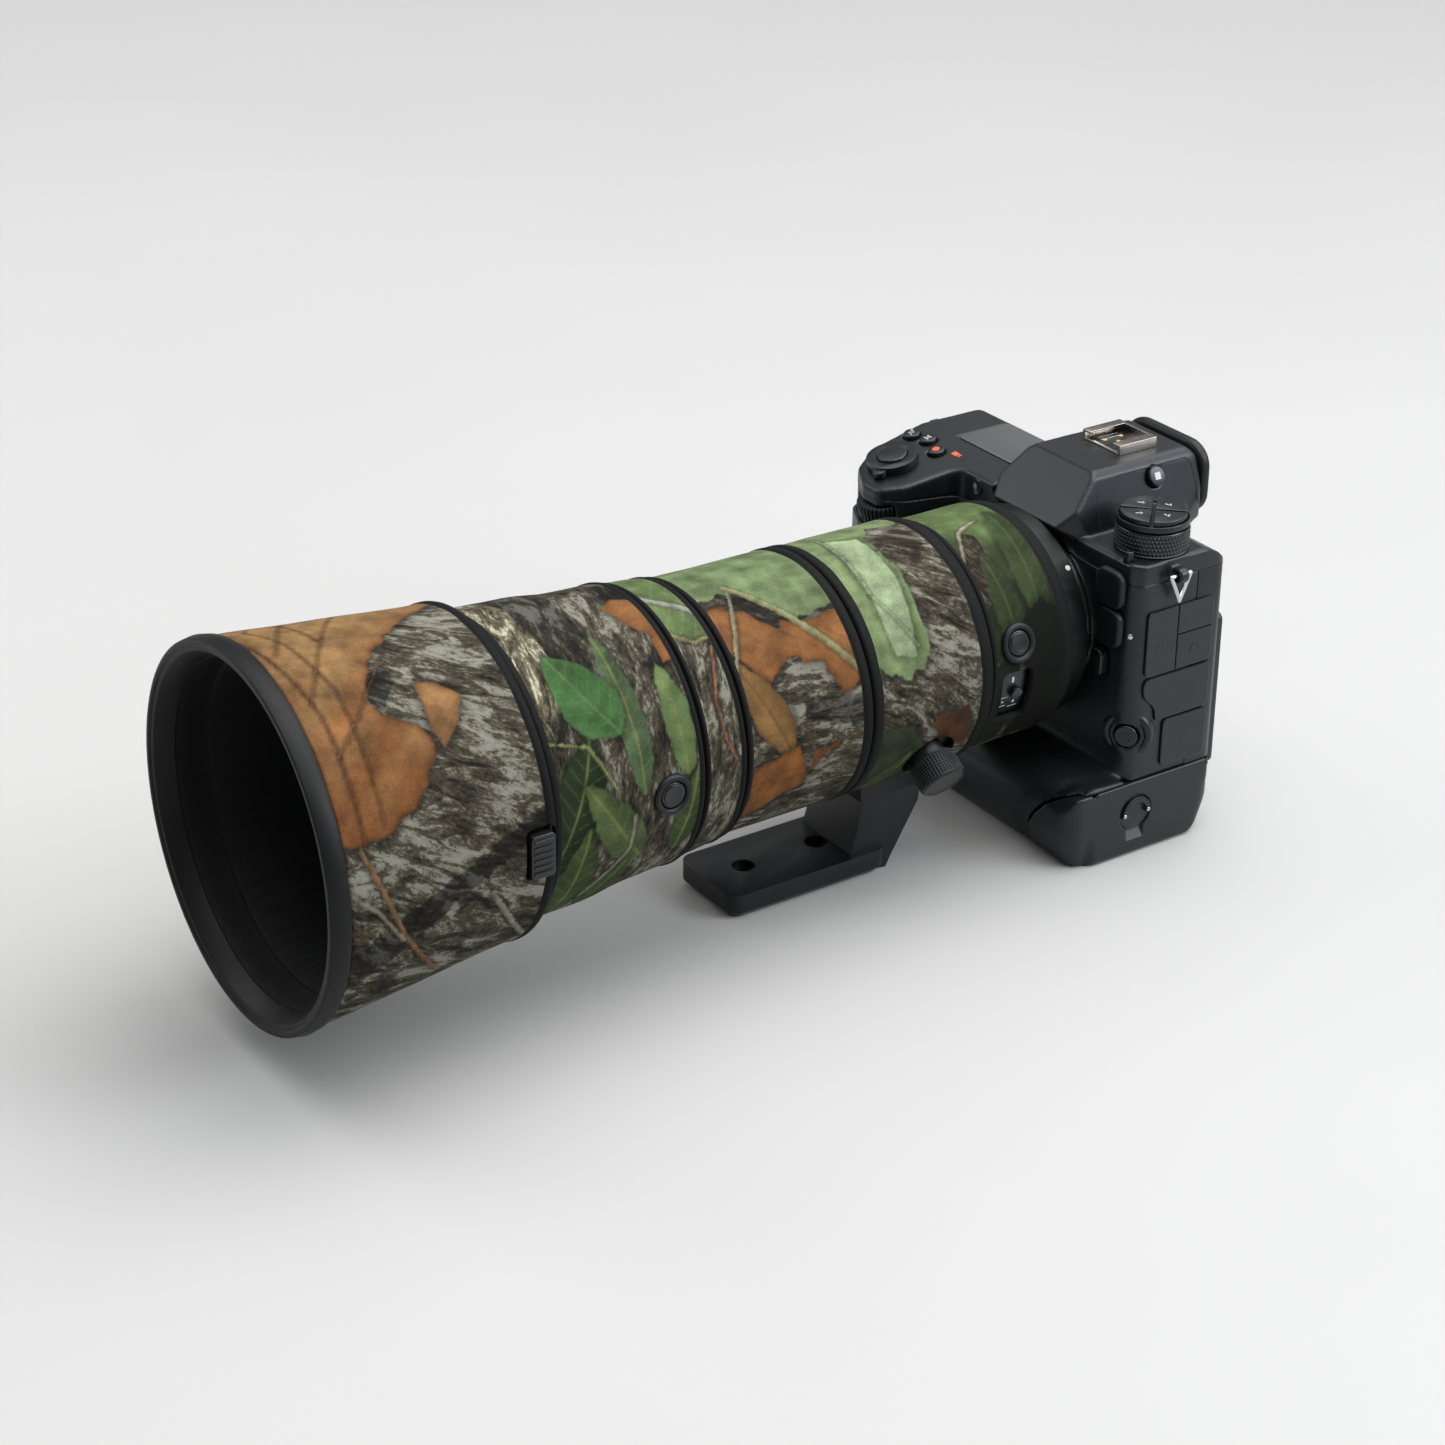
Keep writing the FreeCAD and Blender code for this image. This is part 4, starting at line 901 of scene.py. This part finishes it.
def rise(value, start, width, least):
    """From least before start to 1 at a width past it."""
    return np.clip((value - start) / width, least, 1)


def away_from(points, *spots):
    """Near 0 at each (x, y, z, radius) spot, 1 outside it."""
    return np.min([rise(np.linalg.norm(points - np.array(spot[:3]), axis=1), spot[3], 2.0, 0.06)
                   for spot in spots], axis=0)


def cover_weight(points):
    """The top cover: free over its sloping sides, firm at the hump, the dial and the buttons."""
    x, y, z = points.T
    free = ease(z, 110.2, 113.5) * 0.6
    free = np.where((y > 30) & (z > 111), 1.0, free)
    crisp = (abs(x) < 27) & (y < 12) & (z > 117)
    free = np.where(crisp, np.minimum(free, 0.22), free)
    tower = np.where(z > 117.6, rise(np.hypot(x - 43, y - 0.5), 14, 2, 0.04), 1)
    free = np.minimum(free, tower)
    free = np.minimum(free, rise(np.hypot(x + 70.5, y + 31.5), 6.0, 2.5, 0.1))
    for bx, by in ((-63, -16.4), (-72.6, -13), (-81, -14.6), (49, -15.3)):
        free = np.minimum(free, rise(np.hypot(x - bx, y - by), 4.4, 2, 0.015))
    free = np.where((abs(x) < 15.5) & (y > -7) & (y < 30) & (z < 136), 0.05, free)
    free = np.where((abs(x + 50) < 19) & (abs(y - 10) < 15), 0.12, free)
    return np.minimum(free, away_from(points, (60.2, 0, 112.6, 5), (-89.6, 4, 119, 5),
                                      (20.5, 20.6, 132.5, 5)))


CREASE = np.array([(34, -44.0, 0.0), (34, -44.0, 12.0), (38, -44.0, 18.0), (43, -44.0, 23.5),
                   (49, -39.0, 28.0), (54.5, -35.0, 30.6), (58, -30, 30.8), (58, 9, 30.8)], float)


def crease_gap(points):
    """Distance to the crease round the battery end, and how far above it each point lies."""
    near = np.full(len(points), 1e9)
    above = np.zeros(len(points))
    for a, b in zip(CREASE, CREASE[1:]):
        e = b - a
        w = points - a
        off = w - unit((w @ e) / (e @ e))[:, None] * e
        gap = np.linalg.norm(off, axis=1)
        above = np.where(gap < near, off[:, 2] - off[:, 0] * 0.8, above)
        near = np.minimum(near, gap)
    return near, above


def skin_weight(points):
    """Free where the grip flows into the base, firm at openings and joints."""
    x, y, z = points.T
    flow = ease(-y, 13, 18) * ease(z, -4, 2) * (1 - ease(z, 46, 58))
    free = np.maximum(0.45 + 0.55 * flow, ease(x, 49, 54) * ease(-y, 4, 12) * 0.9)
    free = np.where((x > 50) & (y > -33.5) & (z < 32), 0.03, free)
    free = np.minimum(free, np.where(z < 34, rise(crease_gap(points)[0], 1, 5, 0.03), 1))
    mount = np.hypot(x, z - AXIS)
    free = np.minimum(free, np.where(y < -14, rise(mount, 37, 4, 0.03), 1))
    free *= unit((109.8 - z) / 3.0)
    free = np.where((z > 27.6) & (y > 8), free * unit((11.8 - y) / 3), free)
    free = np.where((z < 28.5) & (y > 20), free * 0.6, free)
    return np.minimum(free, away_from(points, (52, -14, 49, 7.5), (41, -18, 75.5, 6),
                                      (-65, -46, 105, 9)))


def foot_tuck(points):
    """The body draws in towards its underside."""
    x, y, z = points.T
    low = 1 - ease(z, 0, 16)
    x = x - np.sign(x - 8) * 2.6 * low * ease(abs(x + 14.7), 60, 72) * (y < -33)
    y = y + 3.2 * low * ease(-y, 30, 43) - 4.5 * low * ease(y, 6, 27) * ease(x, 30, 50)
    return np.stack([x, y, z], 1)


def end_weight(points):
    """The battery cover: full and round outside, firm where it meets the base."""
    x, y, z = points.T
    free = np.clip((crease_gap(points)[0] - 0.5) / 5, 0.05, 0.9)
    free = np.where((x < 56) & (y > -33.6), 0.04, free)
    free = np.where((abs(y + 11.5) < 8.6) & (z > 5.2) & (z < 26), 0.03, free)
    return np.where(z > 28, np.minimum(free, 0.15), free)


def crease_press(points, normals):
    """Above the crease the skin stands back a little from the battery end."""
    near, above = crease_gap(points)
    step = ease(above, -1.0, 0.6) * (1 - ease(near, 1.5, 10.0)) * 1.2
    step = step * (points[:, 1] < -20) * (1 - ease(points[:, 0], 45, 51))
    return points - normals * step[:, None]


def skin_finish(centres):
    """Leatherette, 1, wraps the front between the covers, the doors and the base."""
    x, y, z = centres.T
    low_edge, high_edge = 24 + 9 * ease(x, 36, 54), 113 - 0.9 * abs(x - 20)
    wrap = (z > low_edge) & (z < 97) & (y < -12.2) & (x > -44) & (z < high_edge)
    mount = np.hypot(x, z - AXIS)
    boss = np.hypot(x - 50.8, z - 49.2) < 8.2
    covers = (x > 35.5) & (z > 81.5)
    return wrap & (mount > 38.5) & ~boss & ~covers


mould(["top_cover"], [CASING], 0.55, 30, cover_weight)
mould(["front_casing", "base_casing"], [CASING, LEATHER], 0.7, 90,
      skin_weight, foot_tuck, skin_finish, crease_press)
mould(["battery_door"], [CASING], 0.45, 60, end_weight, foot_tuck)
mould(["eyecup"], [RUBBER], 0.55, 34)
for name in ("flash_sync_cover", "remote_socket_cover"):
    mould([name], [RUBBER], 0.4, 26)
for finish, bevel, segments, nodes in (
        (CASING, 0.8, 3, "rear_casing"), (LEATHER, 0.5, 3, "hand_grip_rubber"),
        (CASING_SMOOTH, 0.3, 3, "battery_latch"), (BATTERY, 1.0, 3, "battery_pack"),
        (BOARD, 0.0, 3, "main_circuit_board"), (SCREEN, 0.3, 3, "image_sensor"),
        (SCREEN, 0.5, 3, "viewfinder_unit"), (SHOE, 0.15, 3, "hot_shoe"),
        (DISPLAY, 0.3, 3, "top_display_glass"), (STEEL, 0.3, 3, "lens_mount_ring"),
        (CONTROL, 0.6, 4, "shutter_button record_button iso_button exposure_button "
         "monitor_mode_button focus_mode_button lens_release_button multi_selector "
         "dial_lock_pin lens_fn_button_rear lens_fn_button_front"),
        (CONTROL, 0.35, 3, "dial_button_rear dial_button_inner dial_button_front "
         "dial_button_outer"),
        (CONTROL, 0.5, 3, "power_switch_ring"),
        (CONTROL, 0.3, 3, "focus_mode_switch hood_lock_button"),
        (STEEL, 0.0, 3, "strap_ring_port strap_ring_grip"), (ANODISED, 0.3, 3, "monitor_arm"),
        (CASING, 1.0, 4, "monitor_panel"), (ANODISED, 0.6, 3, "tripod_collar"),
        (ANODISED, 0.9, 4, "tripod_foot"), (BARREL, 0.3, 3, "lens_barrel"),
        (LENS_GLASS, 0.2, 3, "lens_elements"), (BARREL, 0.2, 3, "control_ring focus_ring"),
        (FLOCK, 0.3, 3, "hood_shell"), (RIM, 0.5, 4, "hood_rim")):
    for node in nodes.split():
        dress(node, finish, bevel, segments)


def rounded(y0, z0, y1, z1, r, soft=(1, 1, 1, 1)):
    """Corners of a rounded rectangle."""
    spots = []
    for (cy, cz, start), keep in zip(((y1 - r, z1 - r, 0), (y0 + r, z1 - r, 90),
                                      (y0 + r, z0 + r, 180), (y1 - r, z0 + r, 270)), soft):
        for a in range(start, start + 91, 15) if keep else (start + 45,):
            c, s = cos_sin(a)
            spots.append((cy + r * c, cz + r * s) if keep else
                         (cy + r * round(c * 1.4), cz + r * round(s * 1.4)))
    return spots


# side doors of thin soft-edged panels, and the thin moulded lines on them as lighter marks of
# painted highlight, in (y, z)
for node, panels in (
        ("audio_socket_cover",
         [rounded(-11.9, 73.0, 2.6, 98.8, 2.0, (0, 1, 1, 0)),
          rounded(2.95, 87.2, 20.2, 98.8, 2.0, (1, 0, 0, 0)),
          [(2.95, 86.85), (2.95, 73.0), (18.6, 73.0), (19.9, 73.8), (20.2, 75.0), (20.2, 86.85),
           (10, 86.85)]]),
        ("hdmi_socket_cover",
         [[(-5.2, 54.0), (18.8, 54.0), (19.9, 54.7), (20.2, 55.6), (20.2, 72.0), (-9.4, 72.0),
           (-11.2, 71.3), (-11.9, 69.8), (-11.9, 67.0), (-11.2, 64.6), (-9.4, 62.6),
           (-7.4, 60.8), (-6.0, 58.6)]]),
        ("usb_socket_cover", [rounded(-1.2, 33.8, 20.2, 53.2, 2.2)])):
    for index, panel in enumerate(panels):
        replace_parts(lifted("%s_panel_%d" % (node, index), panel, ((57.0, 0, 0), X, Y), 0.95,
                           CASING_SMOOTH, node, 0.35), node)
headband = [(11.6 + 2.1 * c, 79.2 + 2.1 * s) for c, s in map(cos_sin, range(-40, 225, 20))]
for name, width, door, stops in (
        ("headphones", 0.35, "audio", headband),
        ("network", 0.4, "audio", [(-6.4, 82.6), (-6.4, 85.0), (-2.2, 85.0), (-2.2, 82.6)]),
        ("network_stem", 0.4, "audio", [(-4.3, 85.0), (-4.3, 87.4)]),
        ("usb", 0.4, "usb", [(5.2, 43.0), (13.8, 43.0)]),
        ("usb_fork", 0.35, "usb", [(7.6, 43.0), (9.2, 45.0), (11.6, 45.0)])):
    strokes = []
    for a, b in zip(stops, stops[1:]):
        e = (Vector(b) - Vector(a)).normalized() * width / 2
        n = Vector((-e.y, e.x))
        a, b = Vector(a), Vector(b)
        strokes.append([a - e - n, b + e - n, b + e + n, a - e + n])
    # the icons are flat lighter marks: painted highlight on the moulded lines
    mark("icon_" + name, strokes, ((57.95, 0, 0), X, Y), door + "_socket_cover", RIDGE_HIGHLIGHT)


# ------------------------------------------------------------------ knurled pieces
def dots(local, turn, size, tall):
    """Height of a round dot, given places across its cell from -0.5 to 0.5."""
    return tall * math.sqrt(max(0.0, 1 - (local / size) ** 2 - (turn / size) ** 2))


def rows_of(number, radius, start, tall):
    """Profile steps close enough together to carry dots."""
    return [(radius, start + tall * k / (number - 1)) for k in range(number)]


TEETH = 36
for node, origin, axis in (("front_command_dial", (-65.0, -39.4, 101.6), (0, -0.23, 0.973)),
                           ("rear_command_dial", (-66, 19.5, 113.1), Z)):
    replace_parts(lathe(
        node + "_look", [(2.4, 0), (9.1, 0), (9.75, 0.35), (10, 0.9), (10, 5.5), (9.75, 6.05),
                         (9.1, 6.4), (2.4, 6.4)], origin, axis, TEETH * 10, RUBBER,
        body=NODE_BODY[node],
        radius_of=lambda r, h, a, row: r - (0.7 * (0.5 + 0.5 * math.cos(TEETH * a)) ** 4
                                            if 1 < row < 6 else 0)), node)


def dotted(r, height, angle, row):
    """Five rows of raised dots round the dial, each row shifted by half a dot."""
    if not 0.5 < height < 8.5:
        return r
    lane = (height - 0.6) / 1.56
    turn = ((angle / TURN * DIAL_DOTS + 0.5 * (int(lane) % 2)) % 1.0) - 0.5
    return r - 0.1 + dots(lane % 1.0 - 0.5, turn, 0.36, 0.42)


def dots_grid(r, height, angle, row):
    """Rows of raised points over the knob's side."""
    if not 2 <= row < 66:
        return r
    return r + dots(((height - 0.6) / 1.075) % 1.0 - 0.5, (angle / TURN * KNOB_DOTS) % 1.0 - 0.5,
                    0.4, 0.4)


DIAL_DOTS, KNOB_DOTS = 60, 46
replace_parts(lathe("release_mode_dial_look",
                  [(9.1, 0), (13.7, 0), (13.75, 0.3)] + rows_of(66, 13.5, 0.6, 7.8)
                  + [(13.6, 8.7), (13.4, 9.0), (9.1, 9.0)], (43, 0.5, 118.4), Z, DIAL_DOTS * 8,
                  CONTROL, body="release_mode_dial", radius_of=dotted), "release_mode_dial")


def out(angle, distance, along):
    """A place at an angle round the lens."""
    c, s = cos_sin(angle)
    return (distance * c, along, AXIS + distance * s)


def way(angle):
    """Straight out from the lens at an angle round it."""
    c, s = cos_sin(angle)
    return (c, 0.0, s)


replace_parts(lathe("collar_knob_look",
                  [(8.0, 0), (8.6, 0.3)] + rows_of(64, 8.55, 0.6, 8.6)
                  + [(8.6, 9.5), (8.2, 10.0), (7.6, 10.25), (6.9, 10.3), (6.7, 10.1),
                     (0.01, 10.1)], out(-34, 47.6, -95.5), way(-34), KNOB_DOTS * 9, ANODISED,
                  body="collar_knob", radius_of=dots_grid), "collar_knob")
for k in range(6):
    lifted("hood_lock_rib_%d" % k, bar(7.4, 0.9), ((60.15, -269.5, 73.8 + 2.3 * k), X, Y), 0.55,
           CONTROL, "hood_lock_button", 0.2)

# grommets round the lens buttons, a bezel inside each, and the switch panel with its marks
for label, angle, along, top, face in (("rear", 15.7, -60.2, 44.9, 45.0),
                                       ("front", -0.5, -214.0, 51.7, 51.8)):
    lathe("fn_grommet_" + label,
          [(4.9, -3.0), (4.95, -0.2), (5.3, 0.35), (6.0, 0.7), (6.8, 0.6), (7.3, 0.15),
           (7.4, -0.6), (7.4, -3.0)], out(angle, top, along), way(angle), 64, RUBBER)
    lathe("fn_dish_" + label,
          [(0.01, 0.16), (2.6, 0.18), (3.3, 0.34), (3.7, 0.36), (3.9, 0.2), (3.9, 0.0)],
          out(angle, face, along), way(angle), 48, CASING_SMOOTH, body="lens_fn_button_" + label)


def curved_plate(name, radius, middle, half_u, along, half_v, material, thick):
    """A plate bent round the lens axis; half_u is in mm along, half_v in degrees round."""
    steps, across = 18, 8
    points = [out(middle + half_v * (2 * k / steps - 1), radius + level,
                  along + half_u * (2 * i / across - 1))
              for level in (0.0, thick) for i in range(across + 1) for k in range(steps + 1)]
    width = steps + 1
    layer = (across + 1) * width
    faces = []
    for a in (i * width + k for i in range(across) for k in range(steps)):
        faces.append((a, a + 1, a + width + 1, a + width))
        faces.append((layer + a, layer + a + width, layer + a + width + 1, layer + a + 1))
    rim = (list(range(steps)) + [i * width + steps for i in range(across)]
           + [across * width + k for k in range(steps, 0, -1)]
           + [i * width for i in range(across, 0, -1)])
    faces += [(a, layer + a, layer + b, b) for a, b in zip(rim, rim[1:] + rim[:1])]
    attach(from_lists(name, points, faces, [material]), "camera")


curved_plate("switch_panel", 40.82, -12.5, 6.9, -60.5, 14.2, CASING_SMOOTH, 0.5)
for k, (angle, along, half_u, half_v) in enumerate((
        (-4.5, -60.5, 0.5, 1.6), (-14.5, -57.0, 2.4, 0.175), (-14.5, -63.6, 2.0, 0.175),
        (-18.5, -58.4, 0.5, 0.8), (-21.5, -58.4, 2.2, 0.175), (-20.0, -63.6, 1.8, 0.175),
        (-17.2, -63.6, 0.4, 0.6))):
    curved_plate("switch_mark_%d" % k, 41.32, angle, half_u, along, half_v, WHITE, 0.08)

# ------------------------------------------------------------------ small body details
SLOPE = 13.36  # how far the deck beside the grip tips forward
SLOPE_C, SLOPE_S = cos_sin(SLOPE)
NORMAL = (0.0, -SLOPE_S, SLOPE_C)


def deck(x, y, lift):
    """A place on the sloping deck, raised by lift, with the directions for a mark there."""
    drop = (y + 6.0) * math.tan(math.radians(SLOPE))
    return (x, y + NORMAL[1] * lift, 124 + drop + NORMAL[2] * lift), NORMAL, X


mark("icon_exposure", [bar(2.6, 0.42, 45), bar(1.3, 0.36, 0, (-1.1, 1.1)),
                       bar(1.3, 0.36, 90, (-1.1, 1.1)), bar(1.4, 0.36, 0, (1.1, -1.1))],
     deck(-81.0, -14.6, 1.62), "exposure_button")
mark("icon_sensitivity", [bar(2.6, 0.42, 0, (0, 0.9)), bar(2.6, 0.42, 0, (0, -0.9)),
                          bar(1.6, 0.42)], deck(-72.6, -13.0, 1.62), "iso_button")
mark("record_dot", [oval(1.5, 1.5)], deck(-63.0, -16.4, 1.62), "record_button", ORANGE)
mark("record_symbol", [bar(3.0, 2.2), [(1.9, -0.5), (3.0, -1.1), (3.0, 1.1), (1.9, 0.5)]],
     deck(-56.2, -12.5, 0.0), "camera", ORANGE)
mark("sensor_plane_mark", [oval(1.2, 1.2), bar(4.4, 0.36)], ((-41.5, 24.2, 123.75), Z, X))
mark("icon_monitor", [bar(2.7, 2.7)], ((22.42, 20.6, 133.55), (0.9, 0.0, 0.43589), Y),
     "monitor_mode_button")
for k, (x, y, side) in enumerate(((50, 0.5, "outer"), (43, 7.5, "rear"), (36, 0.5, "inner"),
                                  (43, -6.5, "front"))):
    mark("dial_icon_%d" % k, [bar(2.6, 0.5, 20 * k), bar(1.6, 0.5, 20 * k + 90, (0.4, 0.6))],
         ((x, y, 132.31), Z, X), "dial_button_" + side)
lathe("timer_lamp", [(3.1, -1.0), (3.1, 0.35), (2.7, 0.6), (2.3, 0.35), (0.01, 0.25)],
      (-35.2, -17.8, 117.2), (0, -1, 0.12), 48, CONTROL, LENS_GLASS, slots=(0, 0, 0, 1, 1))
lathe("bright_pin", [(1.1, -0.5), (1.1, 0.4), (0.8, 0.7), (0.01, 0.75)], (53.6, -16.7, 89.6),
      (0.62, -0.78, 0), 24, STEEL)
BEVEL_WAY = (0.62, -0.7846, 0)  # the front corner beside the focus button
lathe("focus_button_boss", [(9.6, -5.0), (9.4, -1.2), (8.8, -0.3), (7.8, 0.1), (6.9, 0.0),
                            (6.3, -0.5), (6.0, -1.6), (5.9, -5.0)],
      (53.4, -14.8, 49.2), BEVEL_WAY, 72, CASING)
for k, (x, z) in enumerate([(0, 0)] + [(1.9 * c, 1.9 * s)
                                       for c, s in map(cos_sin, range(0, 360, 45))]):
    lathe("focus_button_dot_%d" % k, [(0.34, -0.2), (0.34, 0.1), (0.2, 0.22), (0.01, 0.25)],
          (54.87 + 0.7846 * x, -16.62 + 0.62 * x, 49.2 + z), BEVEL_WAY, 12, CASING_SMOOTH,
          body="focus_mode_button")
lathe("mount_index", [(1.05, -0.6), (1.05, 0.08), (0.7, 0.2), (0.01, 0.22)],
      out(44, 40.6, -27.0), way(44), 28, WHITE)


def on_hump(y, z):
    """A spot on the hump's port side wall."""
    return (25.2 - 6.2 * (z - 118.6) / 18.6 - 0.05, y, z)


# the fine dark parting line round the hump's side panel, a swept tube whose near-black is painted
# shade in the seam's gap
curve = bpy.data.curves.new("hump_panel_line", "CURVE")
curve.dimensions = "3D"
curve.bevel_depth = 0.22 * MM
curve.bevel_resolution = 1
stops = [(-8.6, 118.9), (-8.4, 126), (-7.6, 131.5), (-5.4, 134.6), (-1.6, 136.0), (3.2, 136.3),
         (36.5, 136.4), (39.0, 134.0), (39.8, 128.0), (39.8, 119.0)]
spline = curve.splines.new("POLY")
spline.points.add(len(stops) - 1)
for point, (y, z) in zip(spline.points, stops):
    point.co = (*[v * MM for v in on_hump(y, z)], 1)
holder = add("hump_panel_curve", curve)
line = bpy.data.meshes.new_from_object(holder)
bpy.data.objects.remove(holder)
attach(link_mesh("hump_panel_line", line, [GAP_SHADE]), "camera")

# a flat near-black pill on the hump: painted shade standing for the microphone slot's holes
lifted("microphone_slot_shade", oval(2.1, 0.55, 24), (on_hump(0.5, 131.6), (0.949, 0, 0.316), Y), 0.1,
       GAP_SHADE)
lifted("shoe_floor_plate", rounded(-7.2, -8.0, 7.2, 8.4, 1.0), ((0, 20.6, 140.15), Z, X), 0.12,
       CONTROL, bevel=0.04)
for side in (-1, 1):
    for k in range(2):
        lifted("shoe_spring_%d_%d" % (side, k), rounded(-0.9, -5.4, 0.9, 5.4, 0.7),
               ((side * (4.2 + 2.3 * k), 20.0, 140.28), Z, X), 0.25, SHOE, bevel=0.08)
for k, (x, y) in enumerate(((0, 0), (-3.4, 4.2), (3.4, 4.2), (-3.4, -3.6), (3.4, -3.6))):
    lathe("shoe_contact_%d" % k, [(1.1, 0), (1.1, 0.12), (0.85, 0.22), (0.01, 0.24)],
          (x, 20.0 + y, 140.2), Z, 24, GOLD)
# a thin lighter plate on the upward-slanted ramp: painted highlight on the black casing
lifted("battery_door_ramp", [(-3.8, -2.5), (3.8, -2.5), (3.8, 2.3), (-3.8, 2.3)],
       ((56.78, -11.5, 8.8), (0.902, 0, 0.432), Y), 0.08, RAMP_HIGHLIGHT, "battery_tray", 0.03)
for side, y in (("front", -17.2), ("back", -5.8)):
    lathe("battery_latch_pin_" + side, [(0.75, -0.4), (0.75, 0.1), (0.5, 0.3), (0.01, 0.34)],
          (58.5, y, 17.6), X, 20, STEEL, body="battery_latch")
lifted("monitor_glass", bar(78.0, 56.0), ((4.5, 36.15, 51.5), Y, (-1, 0, 0)), 0.25, SCREEN,
       "monitor_panel", 0.12)


# ------------------------------------------------------------------ floor and light, in metres
floor_look = Tree("studio_floor")
cloud = floor_look.noise(floor_look.place(), 3.0, 3.0, 0.5)
floor_look.feed(Base_Color=floor_look.ramp(cloud, (0.3, (0.415, 0.413, 0.408)),
                                           (0.7, (0.43, 0.428, 0.423))), Roughness=0.65)
floor_mesh = bpy.data.meshes.new("studio_floor")
floor_mesh.from_pydata([(-8, -8, 0), (8, -8, 0), (8, 8, 0), (-8, 8, 0)], [], [(0, 1, 2, 3)])
link_mesh("studio_floor", floor_mesh, [floor_look.material], False)


def aim(item, direction):
    """Turn a lamp to shine along direction."""
    item.rotation_euler = Vector(direction).to_track_quat("-Z", "Y").to_euler()


for name, place, target, size, power, colour in (
        ("overhead_box", (0.1, 0.2, 1.3), (0, -0.1, 0), (1.0, 1.0), 9.0, (1, 1, 1)),
        ("back_right_box", (1.3, 1.0, 0.95), (0, 0, 0.1), (0.9, 0.7), 17.0, (0.9, 0.95, 1.0)),
        ("left_box", (-1.1, -0.9, 1.0), (0, -0.1, 0.08), (0.9, 0.7), 6.0, (1, 1, 1))):
    data = bpy.data.lights.new(name, "AREA")
    data.shape = "RECTANGLE"
    data.size, data.size_y = size
    data.energy = power
    data.color = colour
    item = add(name, data)
    item.location = place
    aim(item, Vector(target) - Vector(place))
daylight = bpy.data.lights.new("broad_daylight", "SUN")
daylight.energy = 3.55
daylight.angle = math.radians(95)
aim(add("broad_daylight", daylight), (-0.15, -0.35, -1.0))
world = bpy.data.worlds.new("studio_world")
world.use_nodes = True
sky = world.node_tree.nodes["Background"].inputs
sky[0].default_value, sky[1].default_value = (0.92, 0.94, 0.97, 1), 0.3
bpy.context.scene.world = world
bpy.context.scene.view_settings.view_transform = "Standard"

for item in bpy.context.scene.objects:
    if item.type == "MESH" and "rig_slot" not in item and item.data.materials:
        finish = item.data.materials[0]
        if finish and finish.name in FINISH_SLOT:
            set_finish(item, FINISH_SLOT[finish.name])
